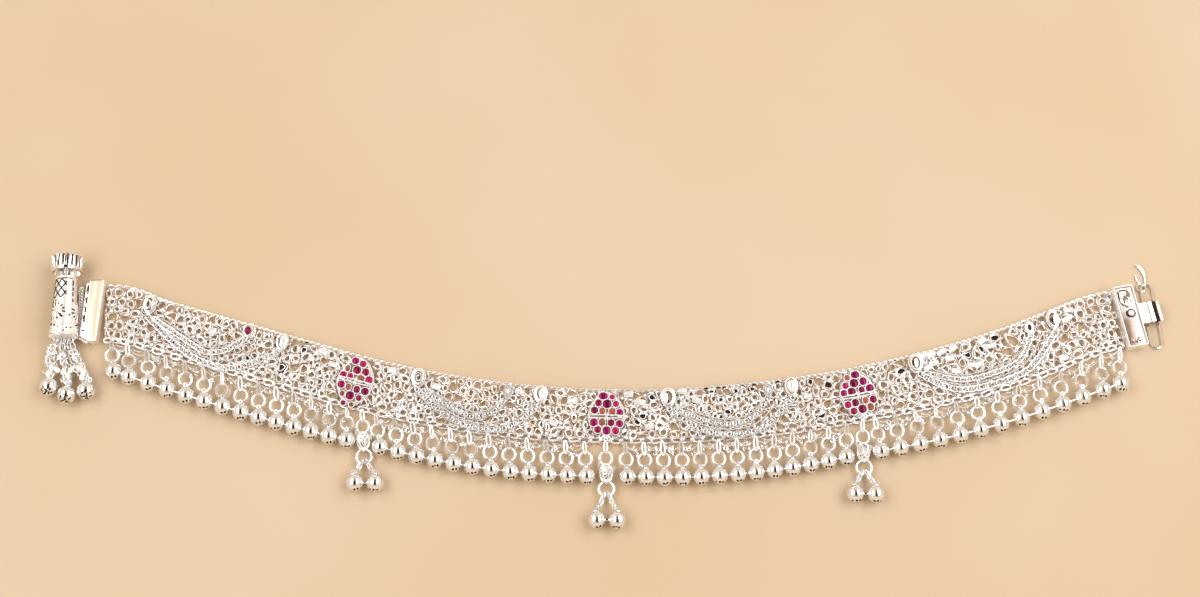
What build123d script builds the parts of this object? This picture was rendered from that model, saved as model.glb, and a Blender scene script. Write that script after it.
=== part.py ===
"""Payal: an Indian bell anklet lying open and flat, in millimetres.

The band is laid out along a centre line that sags a little in the middle.  A place on it is
given by its station, the distance along the centre line from the middle setting (plus is
right), and by its height, the distance from the centre line towards the upper edge.
"""
import math
import os

from build123d import *

# ---- centre line: runs from the middle outwards, each (length, turn in degrees going right)
MIDDLE_HEADING = -1.0
RUNS_RIGHT = ((104.0, 21.3), (14.2, 0.0), (8.0, -11.0))
RUNS_LEFT = ((66.0, 15.4), (49.5, 0.0), (8.0, -19.7))
RIGHT_END = sum(length for length, turn in RUNS_RIGHT)
LEFT_END = -sum(length for length, turn in RUNS_LEFT)

# ---- the row frame's origin: the middle of the whole outline, from the middle setting
ORIGIN_X = -0.099
ORIGIN_Y = 6.222

# ---- clearances between neighbouring pieces
GAP = 0.15
LAYER_GAP = 0.12
LINK_GAP = 0.6

# ---- how far soldered pieces run into each other
JOIN = 0.3

# ---- mesh band and its lower border chain
BAND_THICK = 1.6
BORDER_WIDTH = 1.4
BORDER_THICK = 1.5

# ---- edges of the band: station, height of its upper edge, height of its lower edge
EDGES = (
    (LEFT_END, 8.2, -6.8),
    (-109.0, 6.7, -6.7),
    (0.0, 6.7, -6.7),
    (60.0, 6.7, -6.9),
    (98.0, 6.7, -8.1),
    (RIGHT_END, 7.3, -7.5),
)
UPPER = 1
LOWER = 2
STRAIGHT_BOW = 0.002
SHORTEST_RUN = 1.0

# ---- egg settings with ruby paving: name, station, turn from the band in degrees
SETTINGS = (("left", -60.4, 6.0), ("middle", 0.0, 0.0), ("right", 60.0, -4.3))
EGG_HALF_WIDTH = 4.3
EGG_TOP = 6.1
EGG_BOTTOM = 5.8
EGG_BULGE = 0.66
EGG_THICK = 2.2
EGG_CROWN = 0.5

# ---- oval bezels along the upper edge: name, station, height, width, length
BEZELS = (
    ("bezel_1", -113.9, 4.2, 3.2, 4.8),
    ("bezel_ruby", -88.9, 4.6, 2.4, 3.2),
    ("bezel_2", -80.1, 4.3, 3.0, 4.4),
    ("bezel_3", -45.7, 4.2, 3.5, 4.9),
    ("bezel_4", -15.9, 4.3, 3.3, 4.5),
    ("bezel_5", 14.7, 4.1, 3.6, 4.9),
    ("bezel_6", 44.5, 4.3, 3.2, 4.6),
    ("bezel_7", 75.3, 4.1, 3.5, 4.9),
    ("bezel_8", 111.1, 4.2, 3.2, 4.8),
)
BEZEL_BASE = 0.8
BEZEL_DOME = 0.8
BEZEL_TAPER = 32.0

# ---- chain festoons: start, low left, low right and end stations of the outer chain,
# ---- end station of the inner chain, lowest height
FESTOONS = (
    ("festoon_1", -113.6, -100.5, -91.5, -80.3, -88.9, -5.9),
    ("festoon_2", -45.4, -34.5, -26.0, -16.1, -23.8, -5.7),
    ("festoon_3", 14.9, 24.5, 33.0, 44.3, 38.8, -5.9),
    ("festoon_4", 75.5, 84.0, 98.0, 110.9, 105.0, -6.0),
)
FESTOON_END_HEIGHT = 0.9
INNER_END_HEIGHT = 2.4
FESTOON_WIDTH = 1.6
FESTOON_THICK = 0.9
FESTOON_BEND = 9.0
INNER_WIDTH = 1.1
INNER_LIFT = 3.0
INNER_BEND = 5.5

# ---- fringe rows: first and last bell station, count, crowding to the right, bell diameter,
# ---- height at both ends and in the middle, lean of first and last hanger in degrees
FRINGE = (
    ("bell_row_1", -116.9, -57.8, 14, 0.11, 4.1, -13.9, -14.3, -14.8, 11.0, 3.0),
    ("bell_row_2", -50.2, -4.1, 12, 0.00, 4.0, -14.1, -14.8, -14.9, 11.0, 4.0),
    ("bell_row_3", 4.9, 53.6, 13, 0.00, 4.0, -14.8, -14.6, -15.4, 4.0, -4.0),
    ("bell_row_4", 61.5, 119.8, 13, -0.10, 4.1, -14.7, -15.9, -15.5, 6.0, -6.0),
)
FLANGE_PROUD = 0.17
FLANGE_THICK = 0.3
THREAD_RADIUS = 0.3
HANGER_RING = 1.5
HANGER_WIRE = 0.28
HANGER_RING_DROP = 4.5
NECK_RADIUS = 0.42
LINK_WIDTH = 0.8
LINK_THICK = 1.3
LINK_LEVEL = 0.75
RING_LEVEL = 1.3

# ---- hanging pendants: station of the top, lean in degrees, length to the bell pair and
# ---- tilt of the pair in degrees
PENDANTS = (
    ("left", -56.6, 5.5, 17.4, -6.0),
    ("middle", -0.1, 1.0, 18.4, -2.0),
    ("right", 59.2, -1.0, 17.4, 0.0),
)
PENDANT_BELL = 4.1
PENDANT_SPREAD = 4.7
PENDANT_TOP_RING = 3.6
PENDANT_BEAD = 7.7
PENDANT_BEAD_LENGTH = 4.9
PENDANT_BEAD_CORE = 2.5
PENDANT_BEAD_RADIUS = 1.3
PENDANT_BEAD_TIP = 0.8
PENDANT_LOW_RING = 10.9
PENDANT_LOW_RING_RADIUS = 1.8
FORK_TOP = (0.5, 1.66)
FORK_RISE = 0.5

# ---- left clasp, in the frame of the band's left end (x towards the band, y up the band)
PLATE_LEFT = {"x_low": -4.4, "x_high": -0.2, "y_low": -6.8, "y_high": 8.8, "thick": 3.2}
PLATE_CUT = 2.1
PLATE_CUT_RISE = 5.4
LEAF_WIDTH = 1.2
LEAF_THICK = 2.1
LEAF_RISE = 1.35
LEAF_HEAD = 0.3
LEAF_CORNER = 1.6
LEAF_NOTCHES = (5.6, 1.9, -1.8)
LEAF_NOTCH = (-0.45, 0.6, 2.0, 1.6)
SCREW_X = -9.1
SCREW_Z = 3.75
BARREL_Y = (-5.5, 9.4)
BARREL_RADIUS_LOW = 3.15
BARREL_RADIUS_HIGH = 2.4
BARREL_WALL_END = 1.2
SHANK_RADIUS = 1.0
SHANK_CLEARANCE = 0.05
SHANK_IN_BARREL = 11.0
HEAD_RADIUS = 3.7
HEAD_LENGTH = 4.4
HEAD_Y = 10.7
HEAD_CUP_DEPTH = 1.3
HEAD_RIM = 0.8
HEAD_FLUTES = 26
FLUTE_RADIUS = 0.28
LINK_ROD_RADIUS = 0.45
LINK_ROD_X = -6.45
LINK_COLLAR_RADIUS = 0.65
LINK_COLLAR_LENGTH = 1.6
LINK_ROD_END = 1.2
LINK_COLLARS = (6.6, 1.2, -4.2)

# ---- tassel below the barrel: strand points (x, y) in the same frame, then its bell
TASSEL = (
    ("1", ((-11.1, -5.75), (-12.4, -8.9), (-12.9, -11.9), (-12.4, -14.5)), (-12.3, -17.3)),
    ("2", ((-9.5, -5.75), (-9.5, -9.7), (-8.9, -13.2), (-8.2, -16.8)), (-8.05, -19.6)),
    ("3", ((-7.7, -5.75), (-6.4, -9.4), (-5.0, -12.9), (-3.95, -16.0)), (-3.5, -18.8)),
)
TASSEL_BELL = 4.4
STRAND_RADIUS = 0.6
STRAND_LEVEL = 1.4
STRAND_BEND = 2.5
DROP_BEAD_RADIUS = 0.85
DROP_BEAD_LENGTH = 2.6

# ---- right clasp, in the frame of the band's right end (x away from the band, y up the band)
PLATE_RIGHT = {"x_low": 0.2, "x_high": 5.0, "y_low": -8.0, "y_high": 7.3, "thick": 3.3}
PLATE_RIM = 0.55
PLATE_RECESS = 0.5
STUD = (2.95, 0.3, 0.8)
TONGUE_X = (4.6, 10.0)
TONGUE_HALF = 2.55
TONGUE_LEVEL = 1.75
TONGUE_THICK = 0.7
TONGUE_CURL_RADIUS = 0.65
KEEPER_ENDS = ((9.15, 7.6), (7.75, -8.6))
KEEPER_HALF_WIDTH = 1.35
KEEPER_WIRE = 0.38
KEEPER_RING = (8.0, 6.95, 1.0)
KEEPER_HOOK = ((9.3, 7.9), (9.7, 10.6), (8.15, 12.9))

SURFACE_UP = (0, 0, 1)


# ---------------------------------------------------------------- places on the centre line
def walk(x, y, heading, length, turn):
    """The end of a run of this length that turns evenly by turn degrees."""
    start = math.radians(heading)
    if turn == 0:
        return x + length * math.cos(start), y + length * math.sin(start), heading
    end = start + math.radians(turn)
    radius = length / math.radians(turn)
    x += radius * (math.sin(end) - math.sin(start))
    y -= radius * (math.cos(end) - math.cos(start))
    return x, y, heading + turn


def station(s):
    """x, y and heading in degrees of the centre line at station s."""
    x, y, heading = -ORIGIN_X, -ORIGIN_Y, MIDDLE_HEADING
    sign = 1 if s >= 0 else -1
    left = abs(s)
    for length, turn in RUNS_RIGHT if s >= 0 else RUNS_LEFT:
        step = min(left, length)
        if step > 0:
            x, y, heading = walk(x, y, heading, sign * step, sign * turn * step / length)
        left -= step
    return x, y, heading


def at(s, height=0.0, z=0.0):
    """A location on the band whose x runs along it and whose y points to its upper edge."""
    x, y, heading = station(s)
    return Location((x, y, z), (0, 0, heading)) * Location((0, height, 0))


def spot(s, height):
    """x and y of a place on the band."""
    where = at(s, height).position
    return where.X, where.Y


def run_ends():
    """Stations where the centre line changes from one run to the next."""
    ends = [0.0]
    for runs, sign in ((RUNS_RIGHT, 1), (RUNS_LEFT, -1)):
        reach = 0.0
        for length, _ in runs:
            reach += length
            ends.append(sign * reach)
    return sorted(ends)


def edge_height(s, column):
    """Height of the band's upper or lower edge, eased from one table row to the next."""
    for row, after in zip(EDGES, EDGES[1:]):
        if s <= after[0]:
            t = (s - row[0]) / (after[0] - row[0])
            return row[column] + (after[column] - row[column]) * t * t * (3 - 2 * t)
    return EDGES[-1][column]


def edge_along(s0, s1, column, rise=0.0):
    """A chain of arcs and lines along an edge of the band, raised by rise, from s0 to s1."""
    ends = run_ends() + [row[0] for row in EDGES]
    stops = sorted({s0, s1, *(s for s in ends if s0 + SHORTEST_RUN < s < s1 - SHORTEST_RUN)})
    middles = [(a + b) / 2 for a, b in zip(stops, stops[1:])]
    stops = sorted(stops + middles)
    pieces = []
    for a, b in zip(stops, stops[1:]):
        p, m, q = (spot(s, edge_height(s, column) + rise) for s in (a, (a + b) / 2, b))
        bow = (q[0] - p[0]) * (m[1] - p[1]) - (q[1] - p[1]) * (m[0] - p[0])
        straight = abs(bow) < STRAIGHT_BOW * (b - a)
        pieces.append(Line(p, q) if straight else ThreePointArc(p, m, q))
    return pieces


def strip(s0, s1, low_rise, high_column, high_rise):
    """A flat face along the band, from above its lower edge up to one of its edges."""
    low = edge_along(s0, s1, LOWER, low_rise)
    high = edge_along(s0, s1, high_column, high_rise)
    ends = [Line(low[0] @ 0, high[0] @ 0), Line(low[-1] @ 1, high[-1] @ 1)]
    return make_face(Curve() + low + high + ends)


def slab(face, z, thick):
    """A face from the ground plane raised to z and given a thickness."""
    return extrude(Pos(0, 0, z) * face, amount=thick, dir=SURFACE_UP)


# ---------------------------------------------------------------- band, border and settings
def egg_face(grow=0.0):
    """Pointed egg outline of a setting, about its own centre."""
    top = (0, EGG_TOP + grow)
    right = (EGG_HALF_WIDTH + grow, 0)
    bottom = (0, -EGG_BOTTOM - grow)
    left = (-EGG_HALF_WIDTH - grow, 0)
    corners = (top, right, bottom, left, top)
    sides = []
    for (x0, y0), (x1, y1) in zip(corners, corners[1:]):
        middle = (EGG_BULGE * (x0 + x1), EGG_BULGE * (y0 + y1))
        sides.append(ThreePointArc((x0, y0), middle, (x1, y1)))
    return make_face(Curve() + sides)


def band_section(s0, s1):
    """One stretch of mesh band as a closed slab that stops clear of the settings."""
    face = strip(s0, s1, BORDER_WIDTH + GAP, UPPER, 0)
    for _, s, turn in SETTINGS:
        if s0 - EGG_HALF_WIDTH < s < s1 + EGG_HALF_WIDTH:
            face -= at(s) * Rot(0, 0, turn) * egg_face(GAP)
    return slab(face, 0, BAND_THICK)


def border_chain():
    """The heavier chain along the lower edge, from one end plate to the other."""
    face = strip(LEFT_END + GAP, RIGHT_END - GAP, 0, LOWER, BORDER_WIDTH)
    for _, s, turn in SETTINGS:
        face -= at(s) * Rot(0, 0, turn) * egg_face(GAP)
    return slab(face, 0, BORDER_THICK)


def setting(s, turn):
    """One egg setting: frame, cells and paving as a single crowned solid."""
    base = slab(egg_face(), 0, EGG_THICK)
    crown = slab(egg_face(-EGG_CROWN), EGG_THICK, EGG_CROWN)
    return at(s) * Rot(0, 0, turn) * (base + crown)


def bezel(s, height, width, length):
    """An oval cup with a domed top, lying on the mesh."""
    face = Ellipse(width / 2, length / 2)
    z = BAND_THICK + LAYER_GAP
    base = extrude(face, amount=BEZEL_BASE)
    dome = Pos(0, 0, BEZEL_BASE) * extrude(face, amount=BEZEL_DOME, taper=BEZEL_TAPER)
    return at(s, height, z) * (base + dome)


def festoon(start, low_left, low_right, end, inner_end, low):
    """Two chains that swing down from one bezel and part to end at two others."""
    top = spot(start, FESTOON_END_HEIGHT)
    outer = FilletPolyline(
        top,
        spot(low_left, low),
        spot(low_right, low),
        spot(end, FESTOON_END_HEIGHT),
        radius=FESTOON_BEND,
    )
    lift = low + INNER_LIFT
    inner = FilletPolyline(
        top,
        spot(low_left, lift),
        spot(inner_end - (end - low_right) / 2, lift),
        spot(inner_end, INNER_END_HEIGHT),
        radius=INNER_BEND,
    )
    face = trace(outer, line_width=FESTOON_WIDTH) + trace(inner, line_width=INNER_WIDTH)
    return slab(face, BAND_THICK + LAYER_GAP, FESTOON_THICK)


# ---------------------------------------------------------------- bells and fringe
def bell_level(diameter):
    """Height of a bell's centre when its seam flange rests on the ground."""
    return diameter / 2 + FLANGE_PROUD


def rod(start, end, radius):
    """A round rod between two points."""
    a, b = Vector(*start), Vector(*end)
    plane = Plane(origin=a, z_dir=(b - a))
    return extrude(plane * Circle(radius), amount=(b - a).length)


def bell(diameter, neck):
    """A bell at the origin hung along +Y: two halves, seam flange and a neck to its ring."""
    radius = diameter / 2
    flange = Rot(90, 0, 0) * Cylinder(radius + FLANGE_PROUD, FLANGE_THICK)
    return Sphere(radius) + flange + rod((0, radius - JOIN, 0), (0, neck, 0), NECK_RADIUS)


def fringe_places(row):
    """Bell centre, lean and hanger length for each bell of a fringe row."""
    name, first, last, count, crowding, diameter, v0, v1, v_mid, lean0, lean1 = row
    places = []
    for i in range(count):
        t = i / (count - 1)
        s = first + (last - first) * (t + crowding * t * (1 - t))
        height = v0 + (v1 - v0) * t + (v_mid - (v0 + v1) / 2) * 4 * t * (1 - t)
        lean = lean0 + (lean1 - lean0) * t
        swing = math.radians(station(s)[2] - lean)
        drop = (edge_height(s, LOWER) - height) / math.cos(swing)
        x, y = spot(s, height)
        places.append((x, y, lean, drop))
    return places


def hanger(drop, diameter):
    """Ring and edge-on link from a bell at the origin up to the border, drop away along +Y."""
    ring = Pos(0, HANGER_RING_DROP, RING_LEVEL) * Torus(HANGER_RING, HANGER_WIRE)
    foot = (0, HANGER_RING_DROP - HANGER_RING, RING_LEVEL)
    neck = rod((0, diameter / 2 - JOIN, bell_level(diameter) - JOIN), foot, NECK_RADIUS)
    link_low = HANGER_RING_DROP + HANGER_RING - HANGER_WIRE
    link_length = drop - LINK_GAP - link_low
    link_place = Pos(0, link_low + link_length / 2, LINK_LEVEL)
    link = link_place * Box(LINK_WIDTH, link_length, LINK_THICK)
    return ring + neck + link


def bell_row(row):
    """The bells of one fringe row with their hangers, joined along their thread."""
    diameter = row[5]
    level = bell_level(diameter)
    places = fringe_places(row)
    pieces = []
    for x, y, lean, drop in places:
        body = Pos(0, 0, level) * bell(diameter, diameter / 2)
        pieces.append(Pos(x, y, 0) * Rot(0, 0, lean) * (body + hanger(drop, diameter)))
    for (x0, y0, *_), (x1, y1, *_) in zip(places, places[1:]):
        pieces.append(rod((x0, y0, level), (x1, y1, level), THREAD_RADIUS))
    return pieces[0] + pieces[1:]


# ---------------------------------------------------------------- pendants
def pendant_frame(s, lean):
    """Location at a pendant's top whose -Y runs down the pendant."""
    x, y = spot(s, edge_height(s, LOWER))
    return Pos(x, y, 0) * Rot(0, 0, lean)


def bell_pair(length, tilt):
    """x and y of the two bells at the foot of a pendant, in the pendant's frame."""
    x = PENDANT_SPREAD / 2 * math.cos(math.radians(tilt))
    y = PENDANT_SPREAD / 2 * math.sin(math.radians(tilt))
    return (-x, -length - y), (x, -length + y)


def pendant_chain(length, tilt):
    """Link, ring, filigree bead, ring and two forked loops, from the border to the bells."""
    level = RING_LEVEL
    link = rod((0, -2 * GAP, level), (0, -PENDANT_TOP_RING + HANGER_RING, level), NECK_RADIUS)
    ring = Pos(0, -PENDANT_TOP_RING, level) * Torus(HANGER_RING, HANGER_WIRE)
    core = Cylinder(PENDANT_BEAD_RADIUS, PENDANT_BEAD_CORE)
    tips = Cylinder(PENDANT_BEAD_TIP, PENDANT_BEAD_LENGTH)
    bead = Pos(0, -PENDANT_BEAD, level) * Rot(90, 0, 0) * (core + tips)
    upper = rod(
        (0, -PENDANT_TOP_RING - HANGER_RING, level), (0, -PENDANT_BEAD, level), NECK_RADIUS
    )
    low_y = -PENDANT_LOW_RING
    low_ring = Pos(0, low_y, level) * Torus(PENDANT_LOW_RING_RADIUS, HANGER_WIRE)
    lower = rod((0, -PENDANT_BEAD, level), (0, low_y + PENDANT_LOW_RING_RADIUS, level), NECK_RADIUS)
    chain = link + ring + upper + bead + lower + low_ring
    for x, y in bell_pair(length, tilt):
        top = (math.copysign(FORK_TOP[0], x), low_y - FORK_TOP[1], level)
        foot = (x, y + PENDANT_BELL / 2 + LINK_GAP, level + FORK_RISE)
        chain += rod(top, foot, NECK_RADIUS)
    return chain


# ---------------------------------------------------------------- left clasp and tassel
def along_screw(x, y):
    """Location on the screw's line whose Z runs up the screw."""
    return Pos(x, y, SCREW_Z) * Rot(-90, 0, 0)


def end_plate_left():
    """Smooth box at the left end with a cut corner and a notched leaf beside the barrel."""
    p = PLATE_LEFT
    outline = Polyline(
        (p["x_high"], p["y_low"]),
        (p["x_high"], p["y_high"]),
        (p["x_low"], p["y_high"]),
        (p["x_low"], p["y_low"] + PLATE_CUT_RISE),
        (p["x_low"] + PLATE_CUT, p["y_low"]),
        close=True,
    )
    block = extrude(make_face(outline), amount=p["thick"])
    leaf_low = p["y_low"] + LEAF_RISE
    leaf_long = p["y_high"] - LEAF_HEAD - leaf_low
    leaf_place = Pos(p["x_low"] - (LEAF_WIDTH - JOIN) / 2, leaf_low + leaf_long / 2, LEAF_THICK / 2)
    leaf = leaf_place * Box(LEAF_WIDTH + JOIN, leaf_long, LEAF_THICK)
    wedge = make_face(
        Polyline(
            (p["x_low"], p["y_low"] + PLATE_CUT_RISE),
            (p["x_low"], leaf_low),
            (p["x_low"] + LEAF_CORNER, leaf_low),
            close=True,
        )
    )
    plate = block + leaf + extrude(wedge, amount=LEAF_THICK)
    x, wide, long, deep = LEAF_NOTCH
    for y in LEAF_NOTCHES:
        plate -= Pos(p["x_low"] + x, y, LEAF_THICK) * Box(wide, long, deep)
    return at(LEFT_END) * plate


def clasp_barrel():
    """Engraved tube that holds the screw: a slightly flared body with a blind bore."""
    y0, y1 = BARREL_Y
    length = y1 - y0
    body = Cone(BARREL_RADIUS_LOW, BARREL_RADIUS_HIGH, length)
    bore_radius = SHANK_RADIUS + SHANK_CLEARANCE
    bore_depth = length - BARREL_WALL_END
    bore = Pos(0, 0, length / 2 - bore_depth / 2) * Cylinder(bore_radius, bore_depth)
    return at(LEFT_END) * along_screw(SCREW_X, (y0 + y1) / 2) * (body - bore)


def clasp_screw():
    """Knurled head, cupped underneath, on a plain shank."""
    head = Pos(0, 0, HEAD_LENGTH / 2) * Cylinder(HEAD_RADIUS, HEAD_LENGTH)
    cup = Pos(0, 0, HEAD_CUP_DEPTH / 2) * Cylinder(HEAD_RADIUS - HEAD_RIM, HEAD_CUP_DEPTH)
    head -= cup
    flute = Pos(HEAD_RADIUS, 0, HEAD_LENGTH / 2) * Cylinder(FLUTE_RADIUS, 2 * HEAD_LENGTH)
    head -= [Rot(0, 0, 360 * i / HEAD_FLUTES) * flute for i in range(HEAD_FLUTES)]
    reach = HEAD_Y - BARREL_Y[1] + SHANK_IN_BARREL
    shank_length = reach + HEAD_CUP_DEPTH + JOIN
    shank = Pos(0, 0, shank_length / 2 - reach) * Cylinder(SHANK_RADIUS, shank_length)
    return at(LEFT_END) * along_screw(SCREW_X, HEAD_Y) * (head + shank)


def barrel_links():
    """Rod with three collars that ties the barrel to the left end plate."""
    high = LINK_COLLARS[0] + LINK_ROD_END
    low = LINK_COLLARS[-1] - LINK_ROD_END
    level = LINK_COLLAR_RADIUS
    tie = rod((LINK_ROD_X, low, level), (LINK_ROD_X, high, level), LINK_ROD_RADIUS)
    for y in LINK_COLLARS:
        tie += Pos(LINK_ROD_X, y, level) * Rot(90, 0, 0) * Cylinder(
            LINK_COLLAR_RADIUS, LINK_COLLAR_LENGTH
        )
    return at(LEFT_END) * tie


def tassel_strand(points):
    """One short chain of the tassel as a tube along its route, with its drop bead."""
    path = FilletPolyline(*[(x, y, STRAND_LEVEL) for x, y in points], radius=STRAND_BEND)
    start = Plane(origin=path @ 0, z_dir=path % 0)
    tube = sweep(start * Circle(STRAND_RADIUS), path=path)
    x, y = points[2]
    bead = Pos(x, y, STRAND_LEVEL) * Rot(90, 0, 0) * Cylinder(DROP_BEAD_RADIUS, DROP_BEAD_LENGTH)
    return at(LEFT_END) * (tube + bead)


def lone_bell(x, y, turn, diameter):
    """A bell of its own with a short neck, lying on the ground at x, y."""
    top = diameter / 2 + GAP
    return Pos(x, y, bell_level(diameter)) * Rot(0, 0, turn) * bell(diameter, top)


# ---------------------------------------------------------------- right clasp
def end_plate_right():
    """Box with a raised rim and a stud, and the folded tongue that leaves its outer side."""
    p = PLATE_RIGHT
    wide, long = p["x_high"] - p["x_low"], p["y_high"] - p["y_low"]
    centre = Pos((p["x_low"] + p["x_high"]) / 2, (p["y_low"] + p["y_high"]) / 2, 0)
    block = centre * Pos(0, 0, p["thick"] / 2) * Box(wide, long, p["thick"])
    recess = Box(wide - 2 * PLATE_RIM, long - 2 * PLATE_RIM, PLATE_RECESS)
    block -= centre * Pos(0, 0, p["thick"] - PLATE_RECESS / 2) * recess
    x, y, radius = STUD
    block += Pos(x, y, p["thick"] - PLATE_RECESS) * Sphere(radius)
    x0, x1 = TONGUE_X
    tongue = Pos((x0 + x1) / 2, 0, TONGUE_LEVEL + TONGUE_THICK / 2) * Box(
        x1 - x0, 2 * TONGUE_HALF, TONGUE_THICK
    )
    curl_z = TONGUE_LEVEL + TONGUE_THICK - TONGUE_CURL_RADIUS
    curl = Pos(x1, 0, curl_z) * Rot(90, 0, 0) * Cylinder(TONGUE_CURL_RADIUS, 2 * TONGUE_HALF)
    return at(RIGHT_END) * (block + tongue + curl)


def keeper_loop():
    """Long oval wire loop that lies under the tongue, with a ring and a hook at its top."""
    (x0, y0), (x1, y1) = KEEPER_ENDS
    long = math.hypot(x1 - x0, y1 - y0)
    turn = math.degrees(math.atan2(y0 - y1, x0 - x1))
    outer = SlotCenterToCenter(long - 2 * KEEPER_HALF_WIDTH, 2 * (KEEPER_HALF_WIDTH + KEEPER_WIRE))
    inner = SlotCenterToCenter(long - 2 * KEEPER_HALF_WIDTH, 2 * (KEEPER_HALF_WIDTH - KEEPER_WIRE))
    loop = extrude(outer - inner, amount=2 * KEEPER_WIRE)
    place = Pos((x0 + x1) / 2, (y0 + y1) / 2, 0) * Rot(0, 0, turn)
    x, y, radius = KEEPER_RING
    ring = Pos(x, y, KEEPER_WIRE) * Torus(radius, KEEPER_WIRE)
    bend = ThreePointArc(*[(x, y, KEEPER_WIRE) for x, y in KEEPER_HOOK])
    hook = sweep(Plane(origin=bend @ 0, z_dir=bend % 0) * Circle(KEEPER_WIRE), path=bend)
    return at(RIGHT_END) * (place * loop + ring + hook)


# ---------------------------------------------------------------- the whole anklet
def all_parts():
    parts = {}
    stops = (LEFT_END, *(s for _, s, _ in SETTINGS), RIGHT_END)
    for i, (s0, s1) in enumerate(zip(stops, stops[1:]), start=1):
        parts[f"band_section_{i}"] = band_section(s0 + GAP, s1 - GAP)
    parts["border_chain"] = border_chain()
    for name, s, turn in SETTINGS:
        parts[f"ruby_setting_{name}"] = setting(s, turn)
    for name, *sizes in BEZELS:
        parts[name] = bezel(*sizes)
    for name, *sizes in FESTOONS:
        parts[name] = festoon(*sizes)
    for row in FRINGE:
        parts[row[0]] = bell_row(row)
    for name, s, lean, length, tilt in PENDANTS:
        frame = pendant_frame(s, lean)
        parts[f"pendant_chain_{name}"] = frame * pendant_chain(length, tilt)
        for side, (x, y) in zip("ab", bell_pair(length, tilt)):
            where = (frame * Pos(x, y, 0)).position
            parts[f"pendant_bell_{name}_{side}"] = lone_bell(where.X, where.Y, lean, PENDANT_BELL)
    parts["end_plate_left"] = end_plate_left()
    parts["clasp_barrel"] = clasp_barrel()
    parts["clasp_screw"] = clasp_screw()
    parts["barrel_links"] = barrel_links()
    for name, points, (x, y) in TASSEL:
        parts[f"tassel_strand_{name}"] = tassel_strand(points)
        where = (at(LEFT_END) * Pos(x, y, 0)).position
        turn = math.degrees(math.atan2(x - points[-1][0], points[-1][1] - y))
        parts[f"tassel_bell_{name}"] = lone_bell(where.X, where.Y, turn, TASSEL_BELL)
    parts["end_plate_right"] = end_plate_right()
    parts["keeper_loop"] = keeper_loop()
    return parts


os.makedirs("parts", exist_ok=True)
for node, shape in all_parts().items():
    export_step(shape, f"parts/{node}.step")
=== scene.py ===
"""Looks of a payal anklet lying open and flat: wire mesh, chains, bells, red stones and clasp.

Shapes are worked out in millimetres, in the part's own frame, and scaled to metres when a
mesh is made.  A place on the band is given by its station s along the centre line and its
height v above that line, as in the part's own layout.
"""
import math

import bpy
import numpy as np
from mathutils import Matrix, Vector, geometry


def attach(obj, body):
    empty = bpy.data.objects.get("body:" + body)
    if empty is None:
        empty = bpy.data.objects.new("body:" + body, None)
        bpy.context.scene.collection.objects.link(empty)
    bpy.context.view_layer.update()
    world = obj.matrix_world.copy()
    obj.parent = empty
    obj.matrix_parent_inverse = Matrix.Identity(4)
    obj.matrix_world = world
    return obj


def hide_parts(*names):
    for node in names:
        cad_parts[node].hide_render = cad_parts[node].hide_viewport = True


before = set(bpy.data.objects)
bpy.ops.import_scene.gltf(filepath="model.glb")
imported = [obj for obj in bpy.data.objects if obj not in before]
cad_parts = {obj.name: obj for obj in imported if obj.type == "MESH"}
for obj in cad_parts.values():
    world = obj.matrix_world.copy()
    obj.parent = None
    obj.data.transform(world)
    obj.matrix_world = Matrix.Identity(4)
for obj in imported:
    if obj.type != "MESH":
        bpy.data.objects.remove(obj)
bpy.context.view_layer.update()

MM = 0.001
FULL = 2 * math.pi
X, Y, Z = 0, 1, 2

# ---------------------------------------------------------------- layout, as in the part
MIDDLE = (0.099, -6.222)
MIDDLE_HEADING = -1.0
RUNS_RIGHT = ((104.0, 21.3), (14.2, 0.0), (8.0, -11.0))
RUNS_LEFT = ((66.0, 15.4), (49.5, 0.0), (8.0, -19.7))
RIGHT_END = sum(length for length, turn in RUNS_RIGHT)
LEFT_END = -sum(length for length, turn in RUNS_LEFT)

# edges of the band: station, height of its upper edge, height of its lower edge
EDGES = np.array((
    (LEFT_END, 8.2, -6.8),
    (-109.0, 6.7, -6.7),
    (0.0, 6.7, -6.7),
    (60.0, 6.7, -6.9),
    (98.0, 6.7, -8.1),
    (RIGHT_END, 7.3, -7.5),
))
UPPER, LOWER = 1, 2
BAND_MIDDLE = 0.8
BORDER_WIDTH = 1.4

# egg settings: name, station, turn from the band in degrees, shift of the stones in that frame,
# and how far the setting stops short of the part's at its top and at its foot
SETTINGS = (
    ("left", -60.4, 6.0, (0.25, -0.25), (0.1, 0.0)),
    ("middle", 0.0, 0.0, (0.0, -0.5), (0.0, 1.9)),
    ("right", 60.0, -4.3, (-0.2, -0.65), (0.25, 1.2)),
)
EGG_HALF_WIDTH, EGG_TOP, EGG_BOTTOM, EGG_BULGE = 4.3, 6.1, 5.8, 0.66

# fringe rows: name, first and last station, bells, crowding, diameter, heights at the two ends
# and in the middle, lean of the first and last hanger
FRINGE = (
    ("bell_row_1", -116.9, -57.8, 14, 0.11, 4.1, -13.9, -14.3, -14.8, 11.0, 3.0),
    ("bell_row_2", -50.2, -4.1, 12, 0.00, 4.0, -14.1, -14.8, -14.9, 11.0, 4.0),
    ("bell_row_3", 4.9, 53.6, 13, 0.00, 4.0, -14.8, -14.6, -15.4, 4.0, -4.0),
    ("bell_row_4", 61.5, 119.8, 13, -0.10, 4.1, -14.7, -15.9, -15.5, 6.0, -6.0),
)
FLANGE_PROUD = 0.05
RING_LEVEL = 1.3
HANGER_RING_DROP = 4.3

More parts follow.
